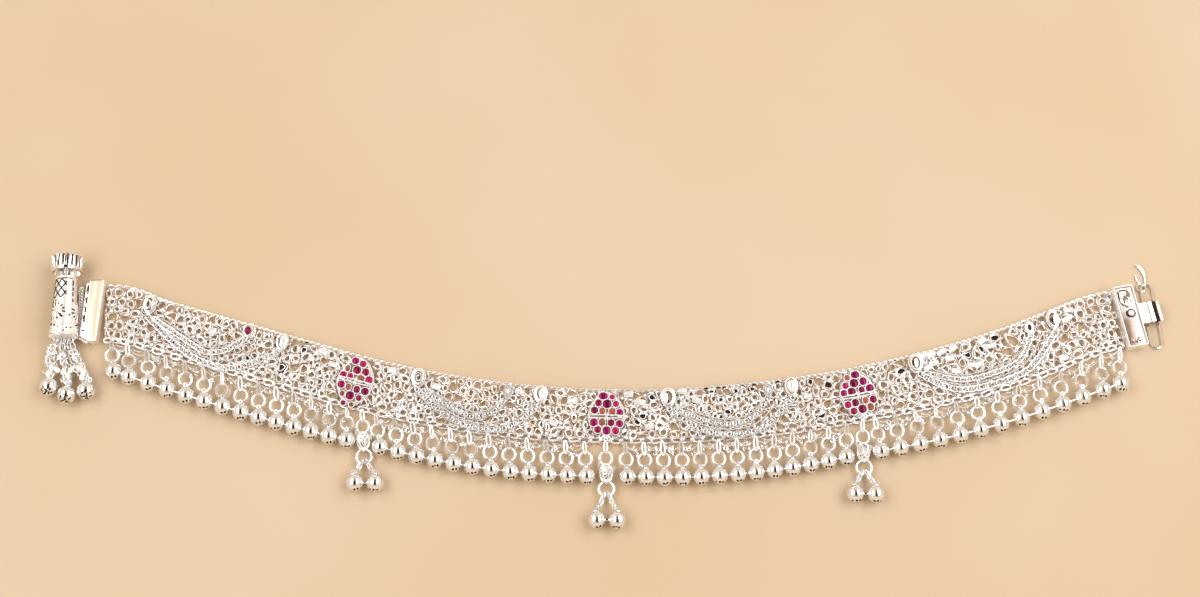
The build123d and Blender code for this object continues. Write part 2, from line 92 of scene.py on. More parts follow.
# pendants: name, station, lean, length to the bell pair, tilt of the pair
PENDANTS = (
    ("left", -56.6, 5.5, 17.4, -6.0),
    ("middle", -0.1, 1.0, 18.4, -2.0),
    ("right", 59.2, -1.0, 17.4, 0.0),
)
PENDANT_BELL, PENDANT_SPREAD = 4.1, 4.7


# ---------------------------------------------------------------- places on the band
def line(s):
    """x, y and heading in radians of the centre line at stations s."""
    s = np.asarray(s, float)
    x = np.full(s.shape, MIDDLE[0])
    y = np.full(s.shape, MIDDLE[1])
    heading = np.full(s.shape, math.radians(MIDDLE_HEADING))
    for sign, runs in ((1, RUNS_RIGHT), (-1, RUNS_LEFT)):
        left = np.clip(sign * s, 0, None)
        for length, turn in runs:
            step = np.minimum(left, length)
            bend = math.radians(turn) * step / length
            chord = sign * step * np.sinc(bend / FULL)
            x = x + chord * np.cos(heading + sign * bend / 2)
            y = y + chord * np.sin(heading + sign * bend / 2)
            heading = heading + sign * bend
            left = left - step
    return x, y, heading


def lay(s, v, z=0.0):
    """Points (..., 3) on the band at stations s, heights v and levels z."""
    x, y, heading = line(s)
    v = np.asarray(v, float)
    x, y, z = np.broadcast_arrays(x - v * np.sin(heading), y + v * np.cos(heading), z)
    return np.stack([x, y, z], -1)


def edge(s, column):
    """Height of the band's upper or lower edge at stations s, eased between table rows."""
    s = np.asarray(s, float)
    i = np.clip(np.searchsorted(EDGES[:, 0], s) - 1, 0, len(EDGES) - 2)
    t = np.clip((s - EDGES[i, 0]) / (EDGES[i + 1, 0] - EDGES[i, 0]), 0, 1)
    return EDGES[i, column] + (EDGES[i + 1, column] - EDGES[i, column]) * t * t * (3 - 2 * t)


def turned(degrees, axis):
    """A 4 x 4 turn about axis X, Y or Z."""
    m = np.eye(4)
    a, b = [(1, 2), (2, 0), (0, 1)][axis]
    c, s = math.cos(math.radians(degrees)), math.sin(math.radians(degrees))
    m[a, a], m[b, b], m[a, b], m[b, a] = c, c, -s, s
    return m


def moved(x=0.0, y=0.0, z=0.0):
    m = np.eye(4)
    m[:3, 3] = (x, y, z)
    return m


def at(s, v=0.0, z=0.0):
    """4 x 4 place on the band: x along it, y towards its upper edge."""
    heading = math.degrees(float(line(s)[2]))
    return moved(*lay(s, v, z)) @ turned(heading, Z)


def put(points, place):
    """Points moved from a local frame to that place."""
    return np.asarray(points, float) @ place[:3, :3].T + place[:3, 3]


# ---------------------------------------------------------------- mesh making
def unit(v):
    return v / np.maximum(np.linalg.norm(v, axis=-1, keepdims=True), 1e-12)


# an edge between faces that turn by more than this, in degrees, is sharp
SHARP_ANGLE = 42
# points along each eased corner of an outline
FILLET_POINTS = 5


def new_object(name, data):
    """A new object in the scene."""
    thing = bpy.data.objects.new(name, data)
    bpy.context.scene.collection.objects.link(thing)
    return thing


class Shape:
    """Points and faces of one mesh, in millimetres.  Each face has the number of its finish,
    which is the shape's own unless another is given."""

    def __init__(self, mark=0):
        self.points, self.faces, self.marks, self.total = [], [], [], 0
        self.mark = mark

    def add(self, points, blocks, mark=None):
        """Adds points (..., 3) and blocks of faces, each an index array (faces, corners)."""
        points = points.reshape(-1, 3)
        for block in blocks:
            self.faces.append(block + self.total)
            self.marks.append(np.full(len(block), self.mark if mark is None else mark))
        self.points.append(points)
        self.total += len(points)

    def stamp(self, other, place):
        """Adds a copy of another shape at a 4 x 4 place."""
        base = np.concatenate(other.points)
        self.points.append(put(base, place))
        self.faces += [block + self.total for block in other.faces]
        self.marks += other.marks
        self.total += len(base)

    def build(self, name, slot, *replaced, body="anklet"):
        """Makes the mesh object, riding on its body and standing for its CAD nodes."""
        mesh = bpy.data.meshes.new(name)
        points = np.concatenate(self.points) * MM
        sizes = np.concatenate([np.full(len(b), b.shape[1]) for b in self.faces])
        corners = np.concatenate([b.ravel() for b in self.faces])
        mesh.vertices.add(len(points))
        mesh.vertices.foreach_set("co", points.astype(np.float32).ravel())
        mesh.loops.add(len(corners))
        mesh.loops.foreach_set("vertex_index", corners.astype(np.int32))
        mesh.polygons.add(len(sizes))
        starts = np.concatenate([[0], np.cumsum(sizes)[:-1]])
        mesh.polygons.foreach_set("loop_start", starts.astype(np.int32))
        mesh.polygons.foreach_set("loop_total", sizes.astype(np.int32))
        used, slots = np.unique(np.concatenate(self.marks), return_inverse=True)
        for mark in used:
            mesh.materials.append(FINISHES[mark])
        mesh.polygons.foreach_set("material_index", slots.astype(np.int32))
        mesh.update(calc_edges=True)
        mesh.validate()
        mesh.polygons.foreach_set("use_smooth", np.ones(len(mesh.polygons), bool))
        mesh.set_sharp_from_angle(angle=math.radians(SHARP_ANGLE))
        thing = new_object(name, mesh)
        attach(thing, body)
        if replaced:
            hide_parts(*replaced)


def tubes(shape, paths, radius, closed=False, sides=6, up=(0.0, 0.0, 1.0), mark=None, flat=1.0):
    """Wire along each of m paths of n points, (m, n, 3), with closed or capped ends."""
    paths = np.asarray(paths, float)
    paths = paths[None] if paths.ndim == 2 else paths
    m, n, _ = paths.shape
    if closed:
        ahead = unit(np.roll(paths, -1, 1) - np.roll(paths, 1, 1))
    else:
        ahead = unit(np.gradient(paths, axis=1))
    up = np.broadcast_to(np.asarray(up, float), (m, n, 3))
    side = unit(np.cross(ahead, up))
    top = np.cross(side, ahead) * flat
    a = np.arange(sides) * FULL / sides
    ring = np.cos(a)[:, None] * side[:, :, None] + np.sin(a)[:, None] * top[:, :, None]
    radius = np.broadcast_to(np.asarray(radius, float), (m, n))
    points = paths[:, :, None] + radius[:, :, None, None] * ring
    index = np.arange(m * n * sides).reshape(m, n, sides)
    here, there = (index, np.roll(index, -1, 1)) if closed else (index[:, :-1], index[:, 1:])
    quads = np.stack([here, there, np.roll(there, -1, 2), np.roll(here, -1, 2)], -1)
    blocks = [quads.reshape(-1, 4)]
    if not closed:
        blocks += [index[:, 0], index[:, -1, ::-1]]
    shape.add(points, blocks, mark)


def skin(shape, loops, mark=None):
    """A closed skin over loops of points (rows, n, 3), from the lowest to the highest."""
    rows, n, _ = loops.shape
    index = np.arange(rows * n).reshape(rows, n)
    low, high = index[:-1], index[1:]
    quads = np.stack([low, np.roll(low, -1, 1), np.roll(high, -1, 1), high], -1)
    shape.add(loops, [quads.reshape(-1, 4), index[:1, ::-1], index[-1:]], mark)


def lathe(shape, profile, segments, swell=1.0):
    """Turns (radius, along) pairs about Z; swell scales the radius by row and segment."""
    radius, along = np.asarray(profile, float).T[:, :, None]
    a = np.arange(segments) * FULL / segments
    ring = radius * np.broadcast_to(swell, (len(radius), segments))
    skin(shape, np.stack([ring * np.cos(a), ring * np.sin(a), along + 0 * a], -1))


def at_level(outline, z):
    """Outline (n, 2) as a path (n, 3) at level z."""
    return np.column_stack([outline, np.broadcast_to(z, len(outline))])


def oval(half_x, half_y, n, power=2.0, x=0.0, y=0.0, turn=0.0):
    """Oval outline (n, 2), squarer as power rises."""
    a = np.arange(n) * FULL / n
    c, s = np.cos(a), np.sin(a)
    px = half_x * np.sign(c) * np.abs(c) ** (2 / power)
    py = half_y * np.sign(s) * np.abs(s) ** (2 / power)
    t = math.radians(turn)
    return np.column_stack(
        [x + px * math.cos(t) - py * math.sin(t), y + px * math.sin(t) + py * math.cos(t)]
    )


def dome(rise, low, steps, rim):
    """Levels for a lump with a rounded top above a straight side."""
    rows = [(1.0, low), (1.0, low + rim)]
    for i in range(1, steps + 1):
        a = i / (steps + 0.6) * math.pi / 2
        rows.append((math.cos(a), low + rim + rise * math.sin(a)))
    return rows


def rounded(points, rounds, closed=False):
    """A smooth curve that rounds the corners of a run of points (n, k)."""
    points = np.asarray(points, float)
    for _ in range(rounds):
        after = np.roll(points, -1, 0) if closed else points[1:]
        here = points if closed else points[:-1]
        cut = np.stack([here * 0.75 + after * 0.25, here * 0.25 + after * 0.75], 1)
        cut = cut.reshape(-1, points.shape[1])
        points = cut if closed else np.concatenate([points[:1], cut, points[-1:]])
    return points


def spread(points, n, closed=False):
    """The same curve with n points evenly along it."""
    points = np.asarray(points, float)
    if closed:
        points = np.concatenate([points, points[:1]])
    steps = np.linalg.norm(np.diff(points, axis=0), axis=1)
    reach = np.concatenate([[0], np.cumsum(steps)])
    stops = np.linspace(0, reach[-1], n + 1)[:-1] if closed else np.linspace(0, reach[-1], n)
    return np.stack([np.interp(stops, reach, points[:, k]) for k in range(points.shape[1])], -1)


def length_of(points):
    return float(np.linalg.norm(np.diff(points, axis=0), axis=1).sum())


def fillet(points, radius):
    """A closed outline with each corner eased by a curve of that radius."""
    points = np.asarray(points, float)[:, None]
    start = points + unit(np.roll(points, 1, 0) - points) * radius
    end = points + unit(np.roll(points, -1, 0) - points) * radius
    t = np.linspace(0, 1, FILLET_POINTS)[:, None]
    return (start * (1 - t) ** 2 + points * 2 * t * (1 - t) + end * t ** 2).reshape(-1, 2)


def inset(outline, depth):
    """An outline, running anticlockwise, drawn in by depth."""
    ahead = unit(np.roll(outline, -1, 0) - np.roll(outline, 1, 0))
    return outline + np.column_stack([-ahead[:, 1], ahead[:, 0]]) * depth


def rectangle(x0, x1, y0, y1, radius):
    """A rectangle with eased corners, running anticlockwise."""
    return fillet([(x1, y0), (x1, y1), (x0, y1), (x0, y0)], radius)


def slab(shape, place, outline, levels, mark=None):
    """A plate whose outline is drawn in by (depth, level) pairs, from the foot to the top."""
    loops = [at_level(inset(outline, depth), z) for depth, z in levels]
    skin(shape, put(loops, place), mark)


def lump(shape, place, outline, levels, mark=None):
    """A closed lump: the outline shrunk about its middle to each (share, level)."""
    middle = np.mean(outline, 0)
    loops = [at_level(middle + (outline - middle) * share, z) for share, z in levels]
    skin(shape, put(loops, place), mark)


def wire(shape, place, points, radius, closed=False, sides=6, mark=None, flat=1.0):
    """A wire through (x, y, z) points given in the frame of a place."""
    tubes(shape, put(points, place), radius, closed, sides, up=place[:3, 2], mark=mark, flat=flat)


def hoop(shape, place, sizes, radius, z=0.0, sides=6, mark=None):
    """An oval loop of wire; sizes are half its width, half its length and its count of points."""
    wire(shape, place, at_level(oval(*sizes), z), radius, True, sides, mark)


# ---------------------------------------------------------------- finishes
# sockets of a Mix node set to colours
MIX_FACTOR, MIX_A, MIX_B, MIX_RESULT = 0, 6, 7, 2
# every finish; a face's mark is the finish's place in this list
FINISHES = []


def feed(tree, node, sockets):
    """Links these sockets of a node to outputs, or sets them to numbers and (r, g, b) colours."""
    for label, value in sockets.items():
        socket = node.inputs[label]
        if isinstance(value, bpy.types.NodeSocket):
            tree.links.new(value, socket)
        else:
            socket.default_value = (*value, 1) if socket.type == "RGBA" else value
    return node


def new_node(tree, kind, sockets, **settings):
    node = tree.nodes.new("ShaderNode" + kind)
    for label, value in settings.items():
        setattr(node, label, value)
    return feed(tree, node, sockets)


def object_point(tree):
    """The place of a surface point in the object."""
    return new_node(tree, "TexCoord", {}).outputs["Object"]


def worked(tree, operation, *values):
    """The outcome of a sum on numbers or outputs."""
    return new_node(tree, "Math", dict(enumerate(values)), operation=operation).outputs["Value"]


def noise(tree, vector, scale, detail, rough):
    sockets = {"Vector": vector, "Scale": scale, "Detail": detail, "Roughness": rough}
    return new_node(tree, "TexNoise", sockets).outputs["Fac"]


def ranged(tree, value, low, high, to_low, to_high):
    """value from low to high mapped to to_low to to_high; each may be a number or an output."""
    sockets = {"Value": value, "From Min": low, "From Max": high, "To Min": to_low, "To Max": to_high}
    return new_node(tree, "MapRange", sockets).outputs["Result"]


def blended(tree, factor, a, b):
    """Colour a to colour b by factor."""
    sockets = {MIX_FACTOR: factor, MIX_A: a, MIX_B: b}
    return new_node(tree, "Mix", sockets, data_type="RGBA").outputs[MIX_RESULT]


def use_group(tree, group, **sockets):
    """The outputs of a node group placed in a tree."""
    return new_node(tree, "Group", sockets, node_tree=group).outputs


def node_group(name, inputs, outputs):
    """An empty shader node group: its tree, the outputs of its start and its end node."""
    tree = bpy.data.node_groups.new(name, "ShaderNodeTree")
    for label, value in inputs.items():
        kind, usual = ("Float", value) if isinstance(value, float) else ("Color", (*value, 1))
        socket = tree.interface.new_socket(label, in_out="INPUT", socket_type="NodeSocket" + kind)
        socket.default_value = usual
    for label, kind in outputs.items():
        tree.interface.new_socket(label, in_out="OUTPUT", socket_type="NodeSocket" + kind)
    return tree, tree.nodes.new("NodeGroupInput").outputs, tree.nodes.new("NodeGroupOutput")


def tarnish_and_painted_low_reflection_group():
    """Silver colour and roughness that drift between clean and tarnished places, with the tarnished colour
    also painted on the lowest parts as a painted reflection of the cloth below.
    """
    tree, given, end = node_group(
        "tarnish",
        {
            "Clean": (0.9, 0.9, 0.9), "Tarnish": (0.5, 0.4, 0.3), "Scale": 400.0, "Amount": 0.3,
            "Smooth": 0.1, "Rough": 0.3, "Settled": 0.0,
        },
        {"Color": "Color", "Roughness": "Float"},
    )
    where = object_point(tree)
    patches = noise(tree, where, given["Scale"], 4.0, 0.6)
    share = ranged(tree, patches, 0.45, 0.75, 0.0, given["Amount"])
    # painted reflection: the tarnished colour painted on parts lower than about a millimetre above the
    # floor, for the cloth they would reflect
    level = new_node(tree, "SeparateXYZ", {"Vector": where}).outputs["Z"]
    painted_low_reflection = ranged(tree, level, 0.0007, 0.0011, given["Settled"], 0.0)
    share = worked(tree, "MAXIMUM", share, painted_low_reflection)
    grain = noise(tree, where, 2600.0, 2.0, 0.5)
    feed(tree, end, {
        "Color": blended(tree, share, given["Clean"], given["Tarnish"]),
        "Roughness": ranged(tree, grain, 0.3, 0.7, given["Smooth"], given["Rough"]),
    })
    return tree


def wear_group():
    """Height of fine scratches and shallow dents."""
    tree, given, end = node_group(
        "fine_wear", {"Dents": 500.0, "Scratches": 3000.0}, {"Height": "Float"}
    )
    where = object_point(tree)
    dents = noise(tree, where, given["Dents"], 2.0, 0.5)
    stretch = new_node(tree, "VectorMath", {0: where, 1: (1.0, 0.12, 0.4)}, operation="MULTIPLY")
    lines = noise(tree, stretch.outputs["Vector"], given["Scratches"], 3.0, 0.6)
    feed(tree, end, {"Height": worked(tree, "MULTIPLY_ADD", lines, 0.35, dents)})
    return tree


def stone_group():
    """Stone colour that deepens and clouds from place to place."""
    tree, given, end = node_group(
        "stone_depth",
        {"Bright": (0.7, 0.0, 0.2), "Deep": (0.3, 0.0, 0.1), "Scale": 900.0},
        {"Color": "Color", "Roughness": "Float"},
    )
    where = object_point(tree)
    share = ranged(tree, noise(tree, where, given["Scale"], 3.0, 0.6), 0.35, 0.65, 0.0, 1.0)
    film = noise(tree, where, 4000.0, 2.0, 0.5)
    feed(tree, end, {
        "Color": blended(tree, share, given["Bright"], given["Deep"]),
        "Roughness": ranged(tree, film, 0.3, 0.7, 0.06, 0.2),
    })
    return tree


TARNISH_AND_PAINTED_LOW_REFLECTION, WEAR, STONE = tarnish_and_painted_low_reflection_group(), wear_group(), stone_group()


def new_finish(name):
    """A new finish: its mark, its node tree and its shader."""
    finish = bpy.data.materials.new(name)
    finish.use_nodes = True
    FINISHES.append(finish)
    return len(FINISHES) - 1, finish.node_tree, finish.node_tree.nodes["Principled BSDF"]


def bumped(tree, height, strength, distance):
    sockets = {"Height": height, "Strength": strength, "Distance": distance}
    return new_node(tree, "Bump", sockets).outputs["Normal"]


def silver(name, clean, tarnish, amount, smooth, rough, bump, scale, metal, painted_low_reflection=0.0, gloss=0.5):
    """The mark of a silver finish: its clean and tarnished colours, share of tarnish, smoothest
    and roughest, bump, size of the patches (higher is finer), metallic share, how strongly the
    tarnished colour is painted on the lowest parts as a painted reflection of the cloth below,
    and gloss of what isn't metallic."""
    mark, tree, shader = new_finish(name)
    tone = use_group(
        tree, TARNISH_AND_PAINTED_LOW_REFLECTION, Clean=clean, Tarnish=tarnish,
        Scale=scale, Amount=amount, Smooth=smooth, Rough=rough, Settled=painted_low_reflection,
    )
    wear = use_group(tree, WEAR, Dents=scale * 2, Scratches=3500.0)
    feed(tree, shader, {
        "Base Color": tone["Color"], "Roughness": tone["Roughness"], "Metallic": metal,
        "Specular IOR Level": gloss, "Normal": bumped(tree, wear["Height"], bump, 0.00004),
    })
    return mark


def stone(name, bright, deep):
    """The mark of a glossy stone."""
    mark, tree, shader = new_finish("stone_" + name)
    tone = use_group(tree, STONE, Bright=bright, Deep=deep, Scale=700.0)
    feed(tree, shader, {
        "Base Color": tone["Color"], "Roughness": tone["Roughness"], "IOR": 1.45,
        "Specular IOR Level": 0.3,
    })
    return mark


WHITE = (0.87, 0.89, 0.92)
# the mesh's golden tarnished colour is also painted on its lowest parts as a painted reflection of the cloth
MESH = silver("mesh_silver", WHITE, (0.60, 0.39, 0.19), 0.44, 0.18, 0.36, 0.25, 350.0, 0.5, painted_low_reflection=1.0)
WIRE = silver("wire_silver", WHITE, (0.55, 0.43, 0.32), 0.26, 0.17, 0.30, 0.2, 350.0, 0.66)
BELL = silver(
    "bell_silver", (0.93, 0.94, 0.96), (0.72, 0.68, 0.62), 0.20, 0.03, 0.09, 0.06, 350.0, 1.0
)
PLATE = silver(
    "plate_silver", (0.92, 0.90, 0.88), (0.66, 0.56, 0.46), 0.35, 0.26, 0.42, 0.2, 180.0, 0.6
)
# plate silver whose cream colour is a painted reflection of the golden cloth beneath
CREAM_CLOTH_REFLECTION = silver(
    "cream_silver", (0.82, 0.71, 0.58), (0.66, 0.52, 0.39), 0.6, 0.38, 0.50, 0.12, 90.0, 0.4
)
CUT = silver("cut_silver", (0.95, 0.97, 1.0), (0.85, 0.83, 0.80), 0.3, 0.30, 0.50, 0.2, 900.0, 0.5)
CUP = silver("cup_silver", (0.96, 0.96, 0.95), (0.84, 0.80, 0.74), 0.2, 0.12, 0.25, 0.1, 500.0, 0.55)
# near-black finish: oxidised black in the engraved lines, and painted shade in bell and plate slots, holes,
# dark mesh cells, edge slits and the tongue's fold
OXIDE_AND_SHADE = silver(
    "oxide_and_painted_shade", (0.035, 0.022, 0.013), (0.012, 0.008, 0.005), 1.0, 0.6, 0.8, 0.3, 900.0, 0.0, gloss=0.1
)
SHADE = silver("grey_silver", (0.34, 0.27, 0.20), (0.17, 0.115, 0.07), 0.8, 0.45, 0.6, 0.3, 700.0, 0.2)
STONES = {
    name: stone(name, bright, deep) for name, bright, deep in (
        ("magenta", (0.31, 0.0, 0.09), (0.16, 0.0, 0.05)),
        ("pink", (0.42, 0.012, 0.10), (0.26, 0.0, 0.055)),
        ("deep", (0.20, 0.0, 0.05), (0.09, 0.0, 0.025)),
        ("brown", (0.30, 0.11, 0.065), (0.19, 0.05, 0.028)),
        ("orange", (0.39, 0.11, 0.07), (0.28, 0.05, 0.035)),
        ("red", (0.26, 0.003, 0.045), (0.14, 0.0, 0.028)),
    )
}


# ---------------------------------------------------------------- bells
def bell_shape(diameter, slots):
    """A bell about its middle, hung along +Z with its front to -Y: halves, seam and slots, each slot a
    near-black patch of painted shade.
    """
    shape = Shape(BELL)
    r = diameter / 2
    rows = [(r * math.cos(a), r * math.sin(a)) for a in np.radians(np.arange(-88, 76, 7.0))]
    rows += [(0.52, r * 0.965), (0.50, r + 0.12), (0.34, r + 0.2), (0.05, r + 0.22)]
    lathe(shape, rows, 28)
    hoop(shape, moved(), (r, r, 40), FLANGE_PROUD)
    # each slot is a near-black patch on the closed shell: painted shade for the hollow seen through the
    # opening
    for azimuth, up, half_long, half_wide, turn in slots:
        place = turned(azimuth, Z) @ turned(90 - up, X) @ moved(0, 0, r - 0.006)
        slot = oval(1.05 * half_long, 1.35 * half_wide, 12, turn=turn)
        lump(shape, place, slot, ((1, 0.0), (0.8, 0.03), (0.3, 0.04)), OXIDE_AND_SHADE)
    loop = spread(rounded(at_level(oval(0.42, 0.46, 10), 0), 1, True), 12, True)
    loop = put(loop, moved(0, 0, r + 0.5) @ turned(90, X))
    tubes(shape, loop, 0.17, True, 6, up=(0, 1, 0), mark=WIRE)
    return shape


# four kinds of bell, each with its slots: azimuth from the front, degrees above the seam,
# half length, half width, turn
BELL_SLOTS = (
    ((-20, -60, 0.38, 0.20, 60), (24, -58, 0.36, 0.19, 110), (66, -52, 0.22, 0.15, 90)),
    ((-54, -54, 0.28, 0.17, 80), (-6, -62, 0.34, 0.21, 80), (40, -60, 0.38, 0.18, 50)),
    ((-14, -64, 0.38, 0.20, 120), (30, -58, 0.36, 0.20, 80), (70, -50, 0.22, 0.15, 90)),
    ((-34, -60, 0.34, 0.20, 40), (2, -58, 0.22, 0.19, 90), (38, -60, 0.38, 0.19, 120)),
)
HANG = turned(-90, X)


def fringe_places(row):
    """Places, leans and hanger lengths of the bells of a row."""
    _, first, last, count, crowding, _, v0, v1, v_mid, lean0, lean1 = row
    t = np.arange(count) / (count - 1)
    s = first + (last - first) * (t + crowding * t * (1 - t))
    v = v0 + (v1 - v0) * t + (v_mid - (v0 + v1) / 2) * 4 * t * (1 - t)
    lean = lean0 + (lean1 - lean0) * t
    heading = line(s)[2]
    drop = (edge(s, LOWER) - v) / np.cos(heading - np.radians(lean))
    return lay(s, v), lean, drop


def hanger_loop():
    """A ring bent from one wire whose ends cross below it and stand on the bell."""
    a = np.radians(np.linspace(-70, 250, 26))
    ring = np.column_stack([1.5 * np.cos(a), 1.56 * np.sin(a), 0.1 * np.linspace(-1, 1, 26)])
    start, end = ((-0.42, -2.25, -0.2), (-0.05, -1.85, -0.16)), ((0.05, -1.85, 0.16), (0.42, -2.25, 0.1))
    shape = Shape(WIRE)
    path = rounded(np.concatenate([start, ring, end]), 1)
    tubes(shape, path, 0.27 + 0.03 * np.sin(np.linspace(0, 5 * FULL, len(path))), sides=8)
    return shape


HANGER_LOOP = hanger_loop()


def hanger_on(shape, here, drop, seed):
    """Ring and the narrow link up to the border, above a bell at here."""
    wobble = np.random.default_rng(seed)
    tip, roll, slide = wobble.uniform(-1, 1, 3)
    swing = 38 if wobble.random() < 0.3 else 12
    ring = moved(0.06 * slide, HANGER_RING_DROP, RING_LEVEL) @ turned(9 * tip, X)
    shape.stamp(HANGER_LOOP, here @ ring @ turned(swing * roll, Y))
    start, end = HANGER_RING_DROP + 1.15, drop + 0.25
    middle = moved(0.05 * tip, (start + end) / 2, RING_LEVEL + 0.1) @ turned(40 * roll, Y)
    hoop(shape, here @ middle, (0.42 + 0.08 * slide, (end - start) / 2, 18), 0.2, mark=WIRE)


def lace_between(shape, spots, leans, drops, wobble):
    """Small loose swags and curls that hang from the border between the hangers."""
    feet = [
        put((0, drop - 0.3, 1.0), moved(*spot) @ turned(lean, Z))
        for spot, lean, drop in zip(spots, leans, drops)
    ]
    downs = np.array([put((0, -1, 0), turned(lean, Z)) for lean in leans])
    for a, b, down in zip(feet, feet[1:], downs):
        t = np.linspace(0.08, 0.92, 13)[:, None]
        for sag, share in ((1.3, 1.0), (0.8, 0.55)):
            shift = (1 - share) * wobble.uniform(0, 1)
            u = shift + t * share
            drop = (sag + 0.4 * wobble.uniform(-1, 1)) * 4 * (t * (1 - t))
            tubes(shape, a + (b - a) * u + down * drop, 0.14, sides=5, mark=WIRE)
        for _ in range(5):
            u, fall = wobble.uniform(0.18, 0.82), wobble.uniform(0.8, 3.0)
            spot = a + (b - a) * u + down * fall
            place = moved(*spot) @ turned(wobble.uniform(0, 180), Z) @ turned(wobble.uniform(-50, 50), Y)
            curl = np.linspace(0, wobble.uniform(2.5, 4.8), 9)
            curl = at_level(0.42 * np.column_stack([np.cos(curl), np.sin(curl)]), 0)
            tubes(shape, put(curl, place), 0.17, sides=5, mark=WIRE)


def make_fringe(row, seed):
    """The bells of a row on their rings and links."""
    name, diameter = row[0], row[5]
    shape = Shape(BELL)
    spots, leans, drops = fringe_places(row)
    level = diameter / 2 + FLANGE_PROUD
    kinds = [bell_shape(diameter, slots) for slots in BELL_SLOTS]
    wobble = np.random.default_rng(seed)
    for i, (spot, lean, drop) in enumerate(zip(spots, leans, drops)):
        here = moved(*spot) @ turned(lean, Z)
        nod, spin = wobble.uniform(-1, 1, 2)
        tilt = turned(5 * nod, X) @ HANG @ turned(10 * spin, Z)
        shape.stamp(kinds[i % len(kinds)], here @ moved(0, 0, level) @ tilt)
        hanger_on(shape, here, drop, seed * 100 + i)
    for pair in zip(spots, spots[1:]):
        tubes(shape, spread(np.array(pair) + (0, 0, level), 3), 0.24, mark=WIRE)
    lace_between(shape, spots, leans, drops, wobble)
    shape.build(name + "_detail", "silver_polished", name)


for number, row in enumerate(FRINGE, start=1):
    make_fringe(row, number)


# ---------------------------------------------------------------- mesh band
# cells filled with a bright-cut plate and cells with a dark floor painted in as the shade of a deep hole:
# station and height
OPEN, BRIGHT, SHADED_HOLE = 1, 2, 3
CUT_PLATES = (
    (92.9, 5.2), (94.2, 3.3), (85.5, 5.4), (82.4, 5.3), (83.8, 3.3), (89.9, -0.2), (84.3, -0.2),
    (88.4, 0.3), (115.9, 5.2), (114.7, 3.4), (77.3, 5.5), (79.7, 3.1), (77.8, 2.4), (79.8, 5.5),
    (21.4, 3.3), (10.0, -2.6), (8.3, 3.3), (39.2, 5.0), (18.3, 5.6), (5.2, 5.2), (48.0, 1.4),
    (-8.2, 3.2), (-12.4, -2.3), (-21.0, 4.6), (-41.0, 3.0), (-52.5, 4.8), (-70.0, 4.9), (-66.8, 2.6),
    (-97.5, 2.4), (109.5, -5.3),
)
SHADED_HOLE_CELLS = (
    (96.2, 5.1), (105.1, 4.4), (92.0, 3.5), (89.0, 2.9), (71.0, 3.3), (8.4, 0.0), (25.7, 5.2),
    (28.6, 0.2), (26.9, -1.2), (31.5, 5.1), (34.6, 5.2), (27.1, 3.4), (49.5, 5.3), (53.2, 3.8),
    (11.1, 4.7), (6.9, -1.6), (-74.9, 3.9), (-77.8, -1.6), (-86.7, -1.8), (50.4, -3.8),
)
# stations of the dark slits painted along the very top of the band as painted shadow
EDGE_SHADOW_SLITS = (-97.6, -94.1, -75.0, 24.0, 27.1, 28.5, 32.8, 35.8, 41.4, 71.3)
MESH_WIRE = 0.19
MESH_ROWS = 6
CELL_PITCH, EDGE_CELL_PITCH = 2.05, 2.3
CELL_POINTS = 14
WIDEST_CELL = 2.4
# how loosely the cells stand in their rows, how many are left out, how many have a second ring,
# and how far other cells keep from the filled ones
CELL_LOOSENESS = 0.33
MISSING_CELLS = 0.05
DOUBLED_CELLS = 0.8
FILLED_CELL_SPACE = 1.25
EDGE_PITCH = 1.46
BORDER_PITCH = 2.35
PLATE_LEAN = 0.09
PLATE_TOP = 8.8


def egg(grow, n, short):
    """Pointed egg outline (n, 2) of four arcs, stopping short of the part's above and below."""
    top, bottom = EGG_TOP - short[0], EGG_BOTTOM - short[1]
    corners = np.array(((0, top), (EGG_HALF_WIDTH, 0), (0, -bottom), (-EGG_HALF_WIDTH, 0)))
    t = np.linspace(0, 1, n // 4, endpoint=False)[:, None]
    bow = 4 * t * (1 - t) * (EGG_BULGE - 0.5)
    points = np.concatenate(
        [a + (b - a) * t + bow * (a + b) for a, b in zip(corners, np.roll(corners, -1, 0))]
    )
    return points * (1 + grow / np.linalg.norm(points, axis=1, keepdims=True))


def egg_reach(x, y, short):
    """1 on a setting's outline, less inside it, for places in its own frame."""
    outline = egg(0, 96, short)
    angle = np.arctan2(outline[:, 1], outline[:, 0])
    order = np.argsort(angle)
    reach = np.interp(
        np.arctan2(y, x), angle[order], np.linalg.norm(outline, axis=1)[order], period=FULL
    )
    return np.hypot(x, y) / reach


def near_setting(s, v):
    """The smallest egg_reach of places on the band over the three settings."""
    best = np.full(np.shape(s), 9.0)
    for _, middle, turn, (shift_x, shift_y), short in SETTINGS:
        t = math.radians(-turn)
        x, y = np.asarray(s) - middle, np.asarray(v)
        rx, ry = x * math.cos(t) - y * math.sin(t), x * math.sin(t) + y * math.cos(t)
        best = np.minimum(best, egg_reach(rx - shift_x, ry - shift_y, short))
    return best


